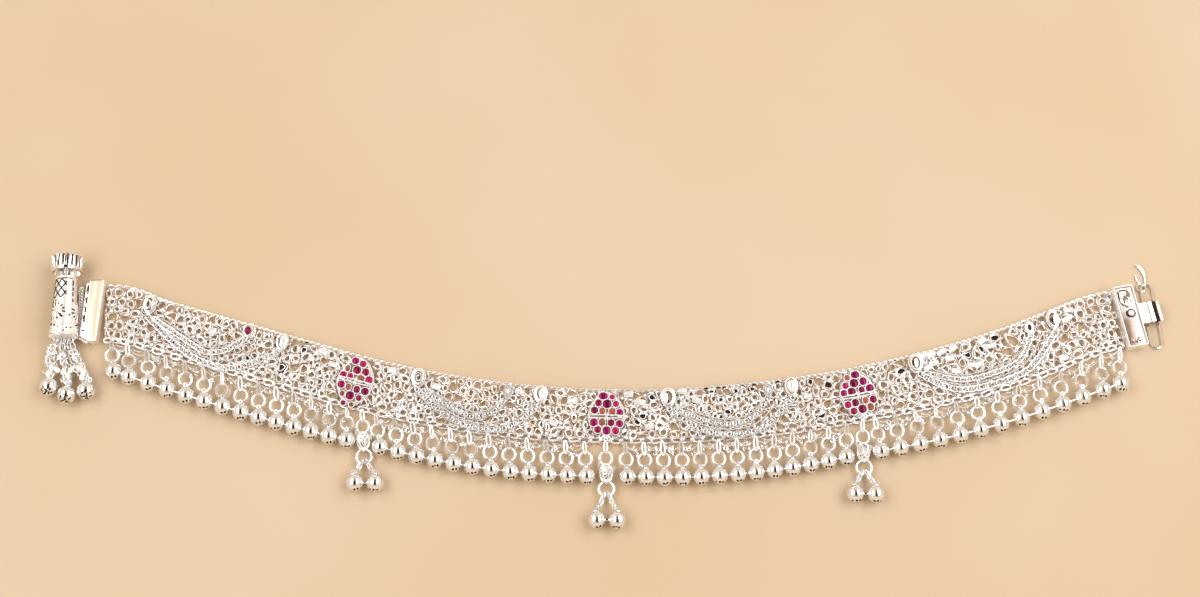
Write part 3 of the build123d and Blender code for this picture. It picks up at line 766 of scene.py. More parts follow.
def cell_points(s0, s1, rng):
    """Middles (s, v) of the cells in jittered rows, and what each is to be."""
    points, kinds = [], []
    for k in range(-1, MESH_ROWS + 1):
        pitch = EDGE_CELL_PITCH if k <= 0 else CELL_PITCH
        count = int(round((s1 - s0 + 6) / pitch))
        s = s0 - 3 + (np.arange(count) + 0.5 * (k % 2)) * pitch
        inner = 0 <= k < MESH_ROWS
        loose = CELL_LOOSENESS if inner else 0.0
        s = s + rng.uniform(-1, 1, count) * pitch * loose
        share = (k + 0.5) / MESH_ROWS + rng.uniform(-1, 1, count) * loose / MESH_ROWS * 1.15
        low = edge(s, LOWER) + BORDER_WIDTH * 0.75
        high = edge(s, UPPER) - 0.75
        v = low + (high - low) * share
        start = s0 + PLATE_LEAN * (v - PLATE_TOP) if s0 == LEFT_END else s0
        keep = (rng.random(count) > MISSING_CELLS) | (not inner)
        points.append(np.column_stack([s, v])[keep])
        kinds.append(((s > start) & (s < s1) & inner)[keep] * OPEN)
    points, kinds = np.concatenate(points), np.concatenate(kinds)
    for chart, kind in ((CUT_PLATES, BRIGHT), (SHADED_HOLE_CELLS, SHADED_HOLE)):
        spots = np.array([spot for spot in chart if s0 < spot[0] < s1]).reshape(-1, 2)
        far = np.linalg.norm(points[:, None] - spots, axis=2).min(1, initial=9.0)
        far = far > FILLED_CELL_SPACE
        points, kinds = np.concatenate([points[far], spots]), np.append(kinds[far], [kind] * len(spots))
    return points, kinds


def cells(points):
    """For each point, the corners of the cell of places nearest to it, in turn order."""
    flat = [Vector(p) for p in points]
    verts, _, faces, origin, _, _ = geometry.delaunay_2d_cdt(flat, [], [], 0, 1e-6)
    tri = np.array([f for f in faces if len(f) == 3])
    p = np.array([(v.x, v.y) for v in verts])
    a, b, c = p[tri[:, 0]], p[tri[:, 1]], p[tri[:, 2]]
    d = 2 * ((a[:, 0] * (b[:, 1] - c[:, 1])) + b[:, 0] * (c[:, 1] - a[:, 1]) + c[:, 0] * (a[:, 1] - b[:, 1]))
    sa, sb, sc = ((q ** 2).sum(1) for q in (a, b, c))
    ux = (sa * (b[:, 1] - c[:, 1]) + sb * (c[:, 1] - a[:, 1]) + sc * (a[:, 1] - b[:, 1])) / d
    uy = (sa * (c[:, 0] - b[:, 0]) + sb * (a[:, 0] - c[:, 0]) + sc * (b[:, 0] - a[:, 0])) / d
    centres = np.column_stack([ux, uy])
    found = [[] for _ in points]
    for t, corners in enumerate(tri):
        for corner in corners:
            for index in origin[corner]:
                found[index].append(t)
    loops = []
    for i, around in enumerate(found):
        ring = centres[around]
        angle = np.arctan2(ring[:, 1] - points[i, 1], ring[:, 0] - points[i, 0])
        loops.append(ring[np.argsort(angle)])
    return loops


def cut_plate(shape, point, rng):
    """The bright-cut plate of one cell."""
    top = 1.5 + 0.2 * rng.random()
    place = at(*point, top) @ turned(rng.uniform(-24, 24), Z) @ turned(rng.uniform(-9, 9), Y)
    x, y, skew = rng.uniform(0.95, 1.2), rng.uniform(0.58, 0.75), rng.uniform(-0.25, 0.25)
    outline = fillet([(x - skew, -y), (x + skew, y), (-x, y), (-x, -y)], 0.1)
    slab(shape, place, outline, ((0.0, -0.6), (0.0, 0.0), (0.16, 0.14)), CUT)


def top_edge(shape, s0, s1, rng):
    """Arcs, a wavy wire and dark slits of painted shadow along the mesh's upper edge."""
    for s in np.arange(s0 + EDGE_PITCH / 2, s1, EDGE_PITCH):
        peak = float(edge(s, UPPER))
        if near_setting(s, peak - 0.6) < 1.0:
            continue
        half, drop = rng.uniform(0.66, 0.82), rng.uniform(0.35, 0.55)
        a = np.linspace(0.02, 0.98, 11) * math.pi
        height = peak - 0.2 - drop * (1 - np.sin(a))
        arc = lay(s + half * np.cos(a), height, 0.85 + 0.35 * np.sin(a))
        tubes(shape, arc, rng.uniform(0.17, 0.24), sides=5)
    s = np.linspace(s0 + 0.3, s1 - 0.3, 200)
    tubes(shape, lay(s, edge(s, UPPER) - 0.62 + 0.09 * np.sin(s * 4.1), 0.8), 0.18, sides=5)
    for s in EDGE_SHADOW_SLITS:
        if s0 < s < s1:
            slit = at(s, float(edge(s, UPPER)) - 0.45, 1.0)
            lump(shape, slit, oval(0.62, 0.3, 12), ((1, -0.3), (1, 0.15), (0.6, 0.18)), OXIDE_AND_SHADE)


def make_section(number, s0, s1):
    """One stretch of wire mesh: a ring round every cell, grains at their corners, filled cells."""
    rng = np.random.default_rng(40 + number)
    points, kinds = cell_points(s0, s1, rng)
    shape = Shape(MESH)
    paths, wires, inner = [], [], []
    a = np.arange(CELL_POINTS) * FULL / CELL_POINTS
    for point, loop, kind in zip(points, cells(points), kinds):
        if not kind or len(loop) < 4 or near_setting(*point) < 1.04:
            continue
        spokes = loop - loop.mean(0)
        size = np.linalg.norm(spokes, axis=1).mean()
        if size > WIDEST_CELL:
            continue
        opening = rounded(loop.mean(0) + spokes * (1 - MESH_WIRE * 1.1 / size), 1, True)
        ring = spread(rounded(opening, 1, True), CELL_POINTS, True)
        wave = 0.26 * np.sin(rng.integers(2, 4) * a + rng.uniform(0, FULL))
        z = BAND_MIDDLE + 0.1 + wave + 0.14 * rng.uniform(-1, 1)
        outline = lay(ring[:, 0], ring[:, 1])[:, :2]
        paths.append(at_level(outline, z))
        wires.append(MESH_WIRE * rng.uniform(0.8, 1.15))
        if kind == BRIGHT:
            cut_plate(shape, point, rng)
        elif kind == SHADED_HOLE:
            # a near-black floor in the cell: painted shade of a deep hole
            lump(shape, moved(), outline, ((1.0, 0.5), (1.0, 0.9), (0.6, 0.85)), OXIDE_AND_SHADE)
        if kind == SHADED_HOLE or (kind == OPEN and rng.random() < DOUBLED_CELLS):
            middle = opening.mean(0)
            small = middle + (spread(opening, 10, True) - middle) * rng.uniform(0.62, 0.78)
            small = small + 0.12 * rng.uniform(-1, 1, 2)
            level = BAND_MIDDLE + 0.3 + 0.2 * rng.uniform(-1, 1, 10)
            inner.append(lay(small[:, 0], small[:, 1], level))
        s, v = loop[rng.integers(len(loop))]
        if edge(s, LOWER) + 1.2 < v < edge(s, UPPER) - 0.4 and near_setting(s, v) > 1.05:
            grain = at(s, v, BAND_MIDDLE) @ turned(rng.uniform(0, 180), Z)
            lump(shape, grain, oval(*rng.uniform(0.26, 0.46, 2), 9), dome(0.4, 0.0, 3, 0.3))
    tubes(shape, np.array(paths), np.array(wires)[:, None], True, 6)
    tubes(shape, np.array(inner), 0.15, True, 5)
    top_edge(shape, s0, s1, rng)
    name = f"band_section_{number}"
    shape.build(name + "_mesh", "silver_mesh", name)


STOPS = (LEFT_END, *(row[1] for row in SETTINGS), RIGHT_END)
for number, (s0, s1) in enumerate(zip(STOPS, STOPS[1:]), start=1):
    make_section(number, s0, s1)


def make_border():
    """Long oval links with grains at their joints, over a wavy wire along the lower edge."""
    shape = Shape(WIRE)
    rng = np.random.default_rng(77)
    for i, s in enumerate(np.arange(LEFT_END + 1.2, RIGHT_END - 1.0, BORDER_PITCH)):
        v = float(edge(s, LOWER)) + 0.74 + 0.12 * rng.uniform(-1, 1)
        place = at(s, v, 0.8) @ turned((16, -16)[i % 2], X) @ turned(rng.uniform(-12, 12), Z)
        link = (rng.uniform(1.15, 1.4), rng.uniform(0.46, 0.66), 18, 2.4)
        hoop(shape, place, link, rng.uniform(0.18, 0.25))
        joint = at(s + BORDER_PITCH / 2, v + 0.2 * rng.uniform(-1, 1), 0.9)
        joint = joint @ turned(rng.uniform(-60, 60), Z)
        grain = oval(rng.uniform(0.3, 0.7), 0.32, 12)
        lump(shape, joint, grain, dome(0.36, -0.1, 3, 0.25), WIRE if i % 3 else CUP)
    s = np.linspace(LEFT_END + 0.4, RIGHT_END - 0.4, 900)
    for rise, phase, level in ((0.24, 0.0, 0.7), (1.28, 2.0, 0.85)):
        v = edge(s, LOWER) + rise + 0.1 * np.sin(s * FULL / BORDER_PITCH + phase) + 0.1 * np.sin(s * 1.7)
        tubes(shape, lay(s, v, level + 0.1 * np.sin(s * FULL / 4.0)), 0.17)
    shape.build("border_chain_links", "silver_mesh", "border_chain")


make_border()


# ---------------------------------------------------------------- red settings
# stones of each setting in its own frame: x, y, half width, half height, colour
STONE_CHART = {
    "left": (
        (-0.9, 5.0, 0.80, 0.78, "magenta"), (1.0, 4.5, 0.75, 0.76, "pink"),
        (-2.4, 2.9, 0.50, 0.78, "brown"), (-0.1, 2.8, 0.88, 0.92, "red"),
        (2.0, 2.6, 0.80, 0.86, "red"), (-3.1, 1.2, 0.76, 0.78, "magenta"),
        (-1.4, 1.0, 0.66, 0.78, "pink"), (1.2, 0.9, 0.84, 0.80, "brown"),
        (3.2, 0.8, 0.83, 0.88, "pink"), (-3.1, -1.2, 0.80, 0.84, "magenta"),
        (-1.3, -1.6, 0.60, 0.76, "brown"), (0.8, -1.9, 0.70, 0.86, "magenta"),
        (2.8, -2.1, 0.83, 0.86, "deep"), (-0.5, -3.6, 0.92, 0.96, "deep"),
        (1.7, -3.9, 0.63, 0.70, "red"), (-2.4, -3.4, 0.52, 0.60, "brown"), (-1.7, -5.6, 0.56, 0.56, "red"),
        (0.3, -5.75, 0.52, 0.52, "brown"),
    ),
    "middle": (
        (-0.8, 5.0, 0.96, 0.84, "magenta"), (1.3, 4.8, 0.60, 0.58, "pink"),
        (-1.9, 3.3, 0.72, 0.80, "red"), (0.1, 3.1, 0.95, 1.00, "deep"),
        (2.2, 3.1, 0.66, 0.72, "pink"), (-2.8, 1.5, 0.78, 0.78, "deep"),
        (-1.0, 1.3, 0.62, 0.80, "orange"), (1.4, 1.2, 0.76, 0.84, "orange"),
        (3.1, 1.0, 0.78, 0.82, "magenta"), (-2.9, -1.5, 0.86, 0.90, "magenta"),
        (-1.0, -1.4, 0.68, 0.86, "brown"), (1.1, -1.5, 0.72, 0.80, "red"),
        (3.1, -1.7, 0.78, 0.82, "magenta"), (-2.0, -3.2, 0.74, 0.80, "red"),
        (0.1, -3.4, 0.86, 0.94, "magenta"), (2.2, -3.4, 0.74, 0.86, "pink"),
    ),
    "right": (
        (-2.0, 4.6, 0.57, 0.68, "orange"), (0.0, 5.1, 0.92, 0.82, "magenta"),
        (-0.6, 3.1, 0.94, 0.98, "deep"), (1.6, 3.3, 0.80, 0.90, "magenta"),
        (-2.7, 2.7, 0.71, 0.75, "pink"), (-1.5, 1.1, 0.90, 0.88, "red"),
        (0.9, 1.2, 0.67, 0.78, "red"), (2.9, 1.4, 0.88, 0.92, "magenta"),
        (-3.4, 0.9, 0.71, 0.75, "magenta"), (-2.9, -2.0, 0.75, 0.80, "pink"),
        (-1.1, -1.7, 0.78, 0.86, "deep"), (1.4, -1.4, 0.63, 0.76, "orange"),
        (3.2, -1.4, 0.78, 0.86, "red"), (-1.8, -3.7, 0.75, 0.78, "red"),
        (0.3, -3.4, 0.90, 0.96, "deep"), (2.3, -3.1, 0.71, 0.90, "brown"),
    ),
}
CELL_LEVEL = 2.3


def make_setting(name, s, turn, shift, short):
    """One egg setting: side wall, floor, stones in wire cells, cross bars and frame wires."""
    here = at(s) @ turned(turn, Z)
    gems_here = here @ moved(*shift)
    rng = np.random.default_rng(int(s + 200))
    metal, gems = Shape(CUT), Shape()
    lump(metal, gems_here, egg(-0.3, 64, short), ((1.0, 0.3), (1.0, 1.85), (0.96, 1.95)), SHADE)
    for x, y, half_x, half_y, colour in STONE_CHART[name]:
        skew = math.radians(rng.uniform(-25, 25))
        half_x, half_y = 1.12 * half_x, 1.1 * half_y
        outline = oval(half_x, half_y, 18, 2.15, x, y)
        lump(gems, gems_here, outline, dome(0.36, 1.95, 4, 0.25), STONES[colour])
        wave = CELL_LEVEL + 0.06 * np.sin(np.arange(18) * FULL / 6 + skew)
        hoop(metal, gems_here, (half_x + 0.09, half_y + 0.09, 18, 2.15, x, y), 0.11, wave)
    level = gems_here @ turned(-turn, Z)
    for low, bow in ((0.28, 0.10), (-0.22, -0.16)):
        x = np.linspace(-4.15, 4.15, 15)
        bar = np.column_stack([x, low + bow * np.cos(x / 4.2 * math.pi / 2)])
        wire(metal, level, at_level(bar, CELL_LEVEL + 0.1), 0.15)
    for x in (-0.22, 0.26):
        post = ((x, 0.9, CELL_LEVEL), (x * 0.7, 0.1, CELL_LEVEL + 0.12), (x, -0.9, CELL_LEVEL))
        wire(metal, level, rounded(post, 2), 0.14)
    for grow, radius, z in ((0.0, 0.17, 1.8), (-0.32, 0.15, 2.15)):
        wire(metal, gems_here, at_level(egg(grow, 64, short), z), radius, True)
    wire(metal, here, at_level(egg(0.1, 64, (0, 0)), 0.6), 0.2, True)
    for angle in (-62, -32, -6, 22, 52):
        petal = here @ moved(0.1, -4.3, 1.5) @ turned(angle, Z) @ moved(0, -1.1, 0) @ turned(14, X)
        hoop(metal, petal, (0.4, 0.85, 14), 0.16)
    metal.build(f"setting_{name}_frame", "silver_mesh")
    gems.build(f"setting_{name}_stones", "ruby_glass", f"ruby_setting_{name}")


for row in SETTINGS:
    make_setting(*row)


# ---------------------------------------------------------------- bezels on the upper edge
# station, height, half width, half length of every oval bezel
BEZELS = {
    "bezel_1": (-113.9, 4.2, 1.6, 2.4), "bezel_2": (-80.1, 4.3, 1.5, 2.2),
    "bezel_3": (-45.7, 4.2, 1.75, 2.45), "bezel_4": (-15.9, 4.3, 1.65, 2.25),
    "bezel_5": (14.7, 4.1, 1.8, 2.45), "bezel_6": (44.5, 4.3, 1.6, 2.3),
    "bezel_7": (75.3, 4.1, 1.75, 2.45), "bezel_8": (111.1, 4.2, 1.6, 2.4),
}
# what each holds: rings (shares of the outline, shift, level), a cup (x, half x, half y, rise)
# and dark pits of painted shade in its hollows (x, y, half x, half y, turn)
RING = ((1.0, 0.0, 0.3),)
RING_PAIR = (*RING, (0.78, 0.0, 0.65))
BEZEL_FILL = {
    "bezel_1": ((*RING, (0.84, -0.1, 0.6), (0.5, -0.35, 0.8)), (0.62, 0.36, 1.5, 0.5), ()),
    "bezel_2": (RING, (0.15, 1.05, 1.7, 0.8), ((-0.45, 0.15, 0.26, 0.75, 4),)),
    "bezel_3": (RING_PAIR, None, ((0.28, -0.3, 0.24, 0.17, 45),)),
    "bezel_4": ((*RING, (0.82, 0.1, 0.55)), (0.28, 0.85, 1.42, 0.85), ()),
    "bezel_5": (RING_PAIR, (-0.5, 0.5, 1.25, 0.35), ((0.05, -0.85, 0.14, 0.2, 20),)),
    "bezel_6": (RING, (0.1, 1.15, 1.6, 0.9), ()),
    "bezel_7": (RING_PAIR, (0.1, 0.62, 1.3, 0.7), ((-0.62, 0.1, 0.12, 0.7, 0),)),
    "bezel_8": ((*RING, (0.82, 0.0, 0.55)), (0.5, 0.58, 1.35, 0.7), ((-0.3, -0.1, 0.2, 0.5, 0),)),
}
BEZEL_FOOT = 1.72
UPRIGHT = 0.8
COIL_PIT_LEVEL = 0.42


def bezel_place(s, height):
    """A bezel's frame, stood more upright than the band it lies on."""
    heading = math.degrees(float(line(s)[2]))
    return at(s, height, BEZEL_FOOT) @ turned(-heading * UPRIGHT, Z)


def teardrop(half_x, half_y, n, shift, length, taper):
    """An oval about (shift, 0) that narrows below by taper in its length."""
    outline = oval(half_x, half_y, n, 2.0, shift)
    outline[:, 0] *= 1 - taper * np.clip(-outline[:, 1] / length, -0.3, 1)
    return outline


def make_bezel(name, s, height, half_x, half_y):
    """One oval bezel: its wires, its floor, and the cup, coil and pits that it holds."""
    rings, cup, pits = BEZEL_FILL[name]
    here = bezel_place(s, height)
    shape = Shape(CUP)
    for share, shift, level, radius in [(*ring, 0.22) for ring in rings] + [(1.0, 0.0, 0.12, 0.2)]:
        ring = teardrop(half_x * share - 0.2, half_y * share - 0.2, 28, shift, half_y, 0.16)
        wire(shape, here, at_level(ring, level), radius, True, 7)
    lump(shape, here, oval(half_x - 0.25, half_y - 0.25, 24), ((1, -0.1), (1, 0.1), (0.8, 0.12)), SHADE)
    if cup:
        x, cup_x, cup_y, rise = cup
        lump(shape, here, teardrop(cup_x, cup_y, 26, x, cup_y, 0.18), dome(rise - 0.2, 0.2, 6, 0.2))
    else:
        rise = COIL_PIT_LEVEL
        a = np.linspace(0, 2.1 * FULL, 70)
        r = 0.70 - 0.54 * a / a[-1]
        coil = [half_x * r * np.sin(a), half_y * r * np.cos(a), 0.5 + 0.3 * a / a[-1]]
        wire(shape, here, np.column_stack(coil), 0.18)
    for x, y, pit_x, pit_y, turn in pits:
        pit, levels = oval(pit_x, pit_y, 14), ((1.0, -0.3), (1.0, 0.0), (0.85, 0.06), (0.4, 0.08))
        lump(shape, here @ moved(x, y, rise) @ turned(turn, Z), pit, levels, OXIDE_AND_SHADE)
    shape.build(name + "_cup", "silver_mesh", name)


for name, sizes in BEZELS.items():
    make_bezel(name, *sizes)


def make_ruby_bezel():
    """The small bezel with a red stone, and its side arc."""
    here = bezel_place(-88.9, 4.6)
    metal, gem = Shape(CUP), Shape(STONES["red"])
    levels = ((0.0, 0.0), (0.0, 0.55), (0.12, 0.75), (0.34, 0.8), (0.5, 0.6))
    slab(metal, here, oval(1.25, 1.65, 28), levels)
    a = np.linspace(-1.1, 1.2, 14)
    arc = np.column_stack([1.62 * np.cos(a), 2.0 * np.sin(a)])
    wire(metal, here, at_level(arc, 0.25), 0.2)
    levels = ((1.0, 0.4), (1.0, 0.72), (0.8, 0.95), (0.5, 1.08), (0.42, 1.09))
    lump(gem, here, oval(0.74, 1.08, 24, 1.8), levels)
    metal.build("bezel_ruby_cup", "silver_mesh")
    gem.build("bezel_ruby_stone", "ruby_glass", "bezel_ruby")


make_ruby_bezel()


def make_small_bezels():
    """Three small open bezels where the inner chains end."""
    shape = Shape(WIRE)
    for s, height, heart in ((-23.8, 4.3, WIRE), (38.8, 4.2, WIRE), (105.0, 4.3, OXIDE_AND_SHADE)):
        here = bezel_place(s, height) @ moved(0, 0, -0.1)
        hoop(shape, here, (0.95, 1.4, 22), 0.2, 0.25)
        hoop(shape, here, (0.6, 0.95, 20), 0.17, 0.5)
        lump(shape, here, oval(0.4, 0.7, 16), dome(0.2, 0.2, 3, 0.1), heart)
    shape.build("small_bezels", "silver_mesh")


make_small_bezels()

# ---------------------------------------------------------------- festoon chains
# name, start, where the outer chain's low run starts and ends, its end, the inner chain's end,
# and the height of the low run
FESTOONS = (
    ("festoon_1", -113.6, -100.5, -91.5, -80.3, -88.9, -5.9),
    ("festoon_2", -45.4, -34.5, -26.0, -16.1, -23.8, -5.7),
    ("festoon_3", 14.9, 24.5, 33.0, 44.3, 38.8, -5.9),
    ("festoon_4", 75.5, 84.0, 98.0, 110.9, 105.0, -6.0),
)
FESTOON_LEVEL = 1.9


def ladder(shape, route, half, rng):
    """Two wires side by side along a route of (s, v), with small links between them."""
    route = spread(rounded(route, 4), 90)
    ahead = unit(np.gradient(route, axis=0))
    across = np.column_stack([-ahead[:, 1], ahead[:, 0]])
    for side in (-1, 1):
        ripple = 0.07 * np.sin(np.arange(90) * 1.3 + side)
        rail = route + across * (half * side + ripple)[:, None]
        path = lay(rail[:, 0], rail[:, 1], FESTOON_LEVEL + 0.05 * side)
        tubes(shape, path, 0.12, sides=6)
    beads = spread(route, int(length_of(route) / 1.3))
    lean = np.degrees(np.arctan2(*unit(np.gradient(beads, axis=0)).T[::-1]))
    for (s, v), angle in zip(beads, lean):
        place = at(s, v, FESTOON_LEVEL - 0.02) @ turned(angle + rng.uniform(-14, 14), Z)
        place = place @ turned(rng.uniform(-16, 16), X)
        hoop(shape, place, (0.5, half - 0.12, 12), 0.12, sides=5)


def make_festoon(name, start, low_left, low_right, end, inner_end, low):
    """An outer and an inner ladder chain that start together and part."""
    rng = np.random.default_rng(int(start + 300))
    shape = Shape(WIRE)
    inner_turn = inner_end - (end - low_right) / 2
    outer = np.array((
        (start, 1.3), (low_left - 3.0, low + 1.9), (low_left + 2.5, low + 0.2),
        (low_right, low), (low_right + 4.5, low + 1.6), (end, 1.5),
    ))
    inner = np.array((
        (start + 1.6, 1.2), (low_left - 1.2, low + 3.9), (low_left + 3.0, low + 2.6),
        (inner_turn - 1.0, low + 2.8), (inner_turn + 2.4, low + 4.4), (inner_end, 2.9),
    ))
    ladder(shape, outer, 0.62, rng)
    ladder(shape, inner, 0.52, rng)
    for share, lift in ((0.5, 0.0), (1.0, 1.25)):
        between = spread(rounded(outer + (inner - outer) * share + (0, lift), 4), 70)[6:-6]
        between = between + 0.07 * np.sin(np.arange(58) * 1.9)[:, None]
        tubes(shape, lay(between[:, 0], between[:, 1], FESTOON_LEVEL - 0.12), 0.14, sides=5)
    shape.build(name + "_chain", "silver_mesh", name)


for row in FESTOONS:
    make_festoon(*row)


# ---------------------------------------------------------------- pendants
def make_pendant(name, s, lean, length, tilt):
    """Link, ring, wirework bead, ring and two forked chains above the pair of bells."""
    x, y, _ = lay(s, float(edge(s, LOWER)))
    here = moved(x, y, RING_LEVEL) @ turned(lean, Z)
    rng = np.random.default_rng(len(name))
    shape = Shape(WIRE)
    hoop(shape, here @ moved(0, -0.9, 0) @ turned(20, Y), (0.42, 1.45, 18), 0.2)
    hoop(shape, here @ moved(0, -3.6, 0) @ turned(6, X), (1.46, 1.54, 24), 0.24, sides=8)
    for lean_out in (-56, -20, 16, 52):
        place = here @ moved(0, -7.2, 0.2) @ turned(lean_out, Y) @ turned(0.3 * lean_out, Z)
        hoop(shape, place, (1.4, 2.1, 20), 0.23, mark=CUP)
    for _ in range(5):
        tip, spin, off = rng.uniform(-1, 1, 3)
        place = here @ moved(0.6 * spin, -7.2 + 1.1 * off, 1.0)
        hoop(shape, place @ turned(60 * spin, Z) @ turned(40 * tip, Y), (0.5, 0.95, 14), 0.19, mark=CUP)
    hoop(shape, here @ moved(0, -9.2, 0.1), (0.4, 0.52, 14), 0.17)
    lug = fillet([(0.9, -6.2), (1.3, -5.7), (2.3, -5.9), (1.95, -6.3), (1.9, -6.9), (1.0, -7.4)], 0.2)
    slab(shape, here, lug, ((0.0, -0.3), (0.0, 0.25), (0.1, 0.35)), CUP)
    hook = rounded([(-1.35, -3.9, 0.1), (-1.75, -5.4, 0.2), (-1.0, -6.7, 0.3), (-0.2, -6.2, 0.35)], 3)
    wire(shape, here, spread(hook, 18), np.interp(np.linspace(0, 1, 18), (0, 0.4, 1), (0.2, 0.32, 0.16)))
    fork = -10.9
    hoop(shape, here @ moved(0, fork, 0), (1.78, 1.7, 26), 0.27, sides=8)
    half = PENDANT_SPREAD / 2
    dx, dy = half * math.cos(math.radians(tilt)), half * math.sin(math.radians(tilt))
    for side in (-1, 1):
        start = np.array([side * 0.55, fork - 1.3, 0.1])
        end = np.array([0.78 * side * half, -length + side * dy + PENDANT_BELL / 2 + 0.7, 0.9])
        angle = math.degrees(math.atan2(end[1] - start[1], end[0] - start[0])) - 90
        for t, long, roll, radius in ((0.14, 0.95, 50, 0.28), (0.5, 0.8, -30, 0.22), (0.84, 0.8, 50, 0.2)):
            link = here @ moved(*(start + (end - start) * t)) @ turned(angle, Z) @ turned(roll, Y)
            hoop(shape, link, (0.42, long, 14), radius)
    shape.build(f"pendant_{name}_links", "silver_satin", f"pendant_chain_{name}")
    bells = Shape(BELL)
    kinds = [bell_shape(PENDANT_BELL, slots) for slots in BELL_SLOTS]
    level = PENDANT_BELL / 2 + FLANGE_PROUD - RING_LEVEL
    for i, side in enumerate((-1, 1)):
        spot = here @ moved(side * dx, -length + side * dy, level) @ turned(-8 * side, Z)
        bells.stamp(kinds[(i + len(name)) % len(kinds)], spot @ turned(4, X) @ HANG)
    thread = ((-dx, -length - dy, level), (dx, -length + dy, level))
    tubes(bells, spread(put(thread, here), 3), 0.24)
    node = f"pendant_bell_{name}_"
    bells.build(f"pendant_{name}_bells", "silver_polished", node + "a", node + "b")


for row in PENDANTS:
    make_pendant(*row)

# ---------------------------------------------------------------- left clasp
LEFT = at(LEFT_END)
SCREW_X, SCREW_Z = -9.1, 3.75
BARREL_LOW, BARREL_HIGH = -5.5, 9.4
BARREL_RADIUS_LOW, BARREL_RADIUS_HIGH = 3.15, 2.4
# the radius that turns an arc on the barrel into an angle
BARREL_RADIUS_MEAN = 2.8
HEAD_Y = 10.7
SCREW_LINE = LEFT @ moved(SCREW_X, 0, SCREW_Z) @ turned(-90, X)


def make_left_plate():
    """Leaning smooth plate with a cut corner and bright bevel, and a slotted strip beside it."""
    shape = Shape(CREAM_CLOTH_REFLECTION)
    x0, x1, y0, y1, cut, rise = -3.6, -0.2, -6.8, PLATE_TOP, 2.4, 5.4
    place = LEFT.copy()
    place[:, 1] = LEFT[:, 1] + PLATE_LEAN * LEFT[:, 0]
    place[:, 3] = LEFT[:, 3] - PLATE_LEAN * y1 * LEFT[:, 0]
    outline = fillet([(x1, y0), (x1, y1), (x0, y1), (x0, y0 + rise), (x0 + cut, y0)], 0.3)
    slab(shape, place, outline, ((0.0, 0.0), (0.0, 2.9), (0.1, 3.1), (0.28, 3.2)))
    corner = ((x0 + 0.25, y0 + rise), (x0 + cut + 0.15, y0 + 0.15), (x1 - 0.25, y0 + 0.15))
    for route, level, count, radius, mark in (
        (((x1 - 0.7, y1 - 0.05), (x0 + 0.4, y1 - 0.05)), 3.1, 4, 0.13, SHADE),
        (((x0 + 0.2, y1 - 0.3), (x0 + 0.25, y0 + rise + 0.1)), 3.1, 12, 0.14, CUP),
        (corner, 3.1, 12, 0.16, CUP),
        (((x1 - 0.1, y0 + 0.3), (x1 - 0.1, y1 - 0.3)), 3.08, 12, 0.13, CUP),
    ):
        wire(shape, place, spread(at_level(route, level), count), radius, mark=mark)
    bevel = fillet(
        [
            (x0 - 0.95, y0 + 1.7), (x0 + cut - 0.5, y0 + 0.05),
            (x0 + cut + 0.1, y0 + 0.3), (x0 + 0.1, y0 + rise),
        ],
        0.15,
    )
    slab(shape, place, bevel, ((0.0, 0.0), (0.0, 2.5), (0.15, 2.7)), CUP)
    strip = rectangle(x0 - 1.1, x0 + 0.3, y0 + 1.8, y1 - 0.3, 0.25)
    slab(shape, place, strip, ((0.0, 0.0), (0.0, 2.0), (0.15, 2.15)), CUP)
    # the slots and the two holes below are near-black patches: painted shade for the openings
    for y, half in ((6.8, 1.35), (4.0, 0.9), (1.6, 0.75), (-0.6, 0.95)):
        slot = place @ moved(x0 - 0.28, y, 2.12)
        lump(shape, slot, oval(0.34, half, 14, 4), ((1, 0), (0.95, 0.16), (0.6, 0.18)), OXIDE_AND_SHADE)
    for y, half in ((6.9, 0.8), (4.4, 0.5), (2.4, 0.45), (-0.2, 0.6), (-2.2, 0.5)):
        lump(shape, place @ moved(x0 - 0.86, y, 2.1), oval(0.2, half, 14, 3), dome(0.22, 0.0, 3, 0.1))
    for x, y, size in ((x0 - 0.1, -3.9, 0.3), (x0 + 0.5, -5.0, 0.14)):
        hole = place @ moved(x, y, 2.68)
        lump(shape, hole, oval(size, size, 12), ((1, 0), (0.9, 0.06), (0.5, 0.08)), OXIDE_AND_SHADE)
    rng = np.random.default_rng(5)
    for x in np.arange(x0 - 0.9, x0 + 1.2, 0.36):
        y = y0 + 1.15 - 0.5 * (x - x0 + 0.9) + 0.2 * rng.uniform(-1, 1)
        lump(shape, place @ moved(x, y, 1.5), oval(0.24, 0.3, 10), dome(0.3, 0, 3, 0.3), CUP)
    shape.build("left_plate", "silver_polished", "end_plate_left")


make_left_plate()


def barrel_radius(y):
    t = (y - BARREL_LOW) / (BARREL_HIGH - BARREL_LOW)
    return BARREL_RADIUS_LOW + (BARREL_RADIUS_HIGH - BARREL_RADIUS_LOW) * t


def barrel_point(arc, y, proud=0.0):
    """Point on the barrel: arc in mm round it from the top line towards +x, height y."""
    radius, a = barrel_radius(y) + proud, arc / BARREL_RADIUS_MEAN
    return np.stack([SCREW_X + radius * np.sin(a), y, SCREW_Z + radius * np.cos(a)], -1)


def engraved(shape, points, radius, mark):
    """A line on the barrel through (arc, y) points."""
    points = spread(rounded(points, 2), 14)
    path = barrel_point(points[:, 0], points[:, 1])
    out = unit((path - (SCREW_X, 0, SCREW_Z)) * (1, 0, 1))
    tubes(shape, put(path, LEFT), radius, up=out @ LEFT[:3, :3].T, mark=mark, flat=0.5)


def barrel_place(arc, y, proud=0.0):
    """A frame on the barrel whose z points out of it and whose y runs up it."""
    return LEFT @ moved(*barrel_point(arc, y, proud)) @ turned(math.degrees(arc / BARREL_RADIUS_MEAN), Y)


